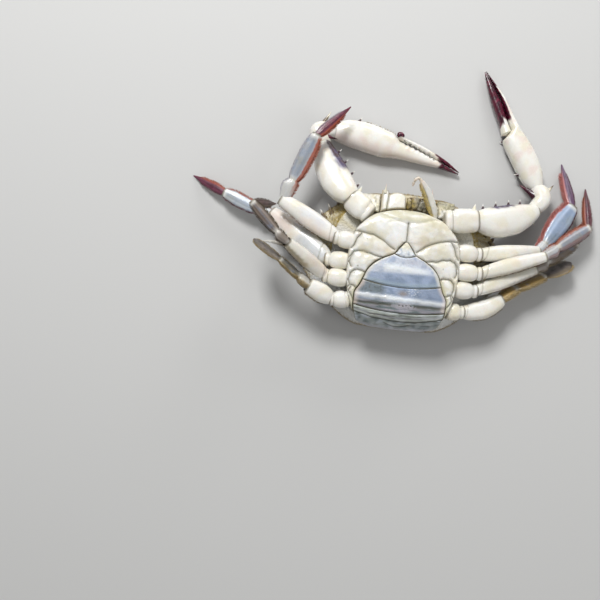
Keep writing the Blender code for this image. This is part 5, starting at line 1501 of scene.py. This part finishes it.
def cheliped(side):
    """The leg that carries the claw, with its spines and its two fingers."""
    joints, suffix = CHELIPED_JOINTS[side], SIDE_NAMES[side]
    coxa = [joints[0], reach(*joints[:2])[1]]
    merus = reach(*joints[1:3])
    carpus = [reach(*joints[2:4], before=2.2)[0], joints[3], reach(*joints[3:5], after=1.0)[1]]
    segment = partial(limb, hand=side, sides=56, step=0.5, neck=0.12, cup=True)
    skin = segment(coxa, CHELIPED_COXA, relief=coxa_relief, paint=partial(shell_paint, bands=(0.27,)))
    dress("claw_coxa", suffix, [skin] + side_spines(skin, [0.88], 3.0, 1.5, CREAM), look="shell")
    skin = segment(merus, CHELIPED_MERUS, relief=partial(ridges, 0.3, 2, 0.4),
                   paint=partial(claw_merus_paint, side))
    spines = side_spines(skin, [0.18, 0.38, 0.58, 0.76], 2.8, 1.2)
    spines += side_spines(skin, [0.93], 2.2, 1.1, CREAM, 3.4)
    dress("claw_merus", suffix, [skin] + spines)
    skin = segment(carpus, CHELIPED_CARPUS, relief=partial(ridges, 0.45, 3, 0.4),
                   paint=partial(shell_paint, back=BACK_PURPLE))
    spines = [spike(*row) for row in CARPUS_SPINES[side]]
    dress("claw_carpus", suffix, [skin] + spines)
    palm, finger = hand_parts(side)
    outer = 0.0 if side == LEFT else np.pi
    spines = side_spines(palm, [0.17], 2.6, 1.3, DEEP_MAROON, outer, 0.7)
    spines += side_spines(palm, [0.45], 2.2, 1.1, DEEP_MAROON, outer - 0.6 * side, 0.8)
    fingers = [finger]
    if side == RIGHT:
        spines += crest_grains(palm)
        fingers.append(limb(KNUCKLE, KNUCKLE_SECTIONS, sides=32, step=0.2, paint=knuckle_paint))
    dress("claw_palm", suffix, [palm] + spines)
    dress("claw_finger", suffix, fingers)


def walking_leg(number, side):
    """A leg of four segments with its fringes. The last pair ends in a paddle and lies turned."""
    joints, look, swimming = WALKING_JOINTS[(number, side)], LEG_LOOKS[(number, side)], number == 5
    suffix = "{}_{}".format(number, SIDE_NAMES[side])
    roll = math.radians(SWIM_ROLL[side]) if swimming else 0.0
    merus_width = MERUS_WIDTH.get((number, side), PLAIN_MERUS_WIDTH)
    merus_rows = SWIM_MERUS if swimming else widened(MERUS, merus_width)
    lower_rows, joint_share = lower_leg_sections(number, side)
    coxa = [joints[0], reach(*joints[:2])[1]]
    merus = list(reach(*joints[1:3]))
    if (number, side) == (5, LEFT):
        merus.insert(1, SWIM_MERUS_BEND)
    lower = [reach(*joints[2:4])[0], joints[3], reach(*joints[3:5])[1]]
    dactyl = [reach(*joints[4:], before=1.4)[0], joints[5]]
    segment = partial(limb, hand=side, neck=0.14, cup=True)
    skin = segment(coxa, COXA, sides=48, step=0.35, relief=coxa_relief if swimming else None,
                   paint=partial(shell_paint, bands=(0.81,)))
    dress("leg_coxa", suffix, [skin], look="shell")
    skin = segment(merus, merus_rows, sides=44, step=0.35, relief=merus_relief,
                   paint=partial(merus_paint, number, side))
    fringe(skin, np.pi, 0.25, 0.97, 160, length=1.2, tint=mix(look.front, BROWN, 0.7), spread=0.2)
    dress("leg_merus", suffix, [skin], look="shell")
    skin = segment(lower, lower_rows, roll=roll, sides=48, step=0.4, relief=keel_relief,
                   paint=partial(lower_leg_paint, look, joint_share))
    fringes(skin, look, 0.98, look.hairs // 2, 1.0, low=0.08, spread=0.22)
    dress("leg_propodus", suffix, [skin], "leg")
    skin = limb(dactyl, PADDLE if swimming else DACTYL, hand=side, roll=roll, sides=44, step=0.3, neck=0.1,
                relief=paddle_relief if swimming else keel_relief, paint=partial(dactyl_paint, look))
    fringes(skin, look, 0.98 if swimming else 0.8, look.hairs // 3, 0.8, low=0.05, spread=0.15)
    if swimming:
        dress("paddle", SIDE_NAMES[side], [skin], "leg")
    else:
        dress("leg_dactyl", suffix, [skin], "leg")


# The studio

WORLD_STRENGTH = 0.27
# Name, place, aim in metres, size and power of each light
LIGHTS = [
    ("key", (-0.30, 0.62, 0.80), (0.0, 0.02, 0.0), 0.28, 8.4),
    ("fill", (0.65, -0.35, 0.7), (0.0, 0.0, 0.0), 0.6, 1.5),
    ("rim", (0.25, 0.75, 0.35), (0.0, 0.05, 0.02), 0.3, 1.5),
]


def stand(name, data, place, turn):
    made = bpy.data.objects.new(name, data)
    made.location, made.rotation_euler = place, turn
    bpy.context.scene.collection.objects.link(made)
    return made


def studio():
    bpy.ops.mesh.primitive_plane_add(size=3.0)
    floor = bpy.context.object
    floor.name = "studio_floor"
    floor.data.materials.append(floor_material())
    for name, place, aim, size, power in LIGHTS:
        lamp = bpy.data.lights.new(name, "AREA")
        lamp.size, lamp.energy = size, power
        stand(name, lamp, place, Vector(np.subtract(aim, place)).to_track_quat("-Z", "Y").to_euler())
    world = bpy.data.worlds.new("studio")
    world.use_nodes = True
    world.node_tree.nodes["Background"].inputs["Color"].default_value = (1.0, 1.0, 1.0, 1.0)
    world.node_tree.nodes["Background"].inputs["Strength"].default_value = WORLD_STRENGTH
    bpy.context.scene.world = world
    bpy.context.scene.view_settings.view_transform = "Standard"


def photo_camera():
    lens = bpy.data.cameras.new("photo_camera")
    half, distance = HALF_PICTURE_AT
    lens.angle = 2 * math.atan(half / distance)
    place = [value * MM for value in CAMERA_PLACE]
    bpy.context.scene.camera = stand("photo_camera", lens, place, (0.0, 0.0, CAMERA_TURN))


def build_body():
    grid, level, furrow, ridge, bumps = back_surface()
    skin = Skin(grid, back_colour(grid, level, furrow, ridge, bumps))
    parts = [skin] + border_teeth() + [cheek(LEFT), cheek(RIGHT)]
    piece("back_shell", parts, ["carapace"], "back")
    piece("chest_plates", [sternum()], ["sternum"], "shell")
    for name, *shape in APRON_PLATES:
        piece(name + "_plate", [apron_sheet(*shape)], [name], "apron")
    piece("jaw_foot_right", closed_jaw_foot(), ["maxilliped_right"], "shell")
    foot = limb(OPEN_JAW_FOOT, OPEN_JAW_FOOT_SECTIONS, sides=48, step=0.3, relief=open_foot_relief,
                paint=open_foot_paint)
    palp = limb(PALP, PALP_SECTIONS, sides=20, step=0.15, paint=palp_paint)
    branch = spike(*OUTER_BRANCH, mix(WHITE, PINK, 0.5), PINK)
    fringe(foot, 0.0, 0.15, 0.97, 240, length=1.3, tint=YELLOW, spread=0.2)
    fringe(palp, 4.5, 0.3, 1.0, 60, length=1.1, tint=TAN, spread=0.5)
    piece("jaw_foot_left", [foot, palp, branch], ["maxilliped_left"], "shell")
    piece("inner_mouth", inner_mouth(), ["mouthparts"], "mouth")
    for hand, name in SIDE_NAMES.items():
        eye = limb(mirrored(EYE, hand), EYE_SECTIONS, sides=40, step=0.25, squareness=2.0, paint=eye_paint)
        piece("eye_ball_" + name, [eye], ["eye_" + name], "eye")
        feeler = limb(mirrored(FEELER, hand), FEELER_SECTIONS, sides=14, step=0.13, squareness=2.0,
                      relief=feeler_relief, paint=feeler_paint)
        piece("feeler_" + name, [feeler], ["antenna_" + name], "leg")
    groups = [fuzz(grid, level, CHEEK_LEVELS, shares, *CHEEK_FUZZ) for shares in CHEEK_SHARES]
    groups.append(fuzz(grid, level, BRIM_LEVELS, (0.0, 1.0), *BRIM_FUZZ))
    hair_piece("cheek_fuzz", groups)


build_body()
for side in (LEFT, RIGHT):
    cheliped(side)
    for number in (2, 3, 4, 5):
        walking_leg(number, side)
hair_piece("leg_fringes", fringed)
studio()
photo_camera()
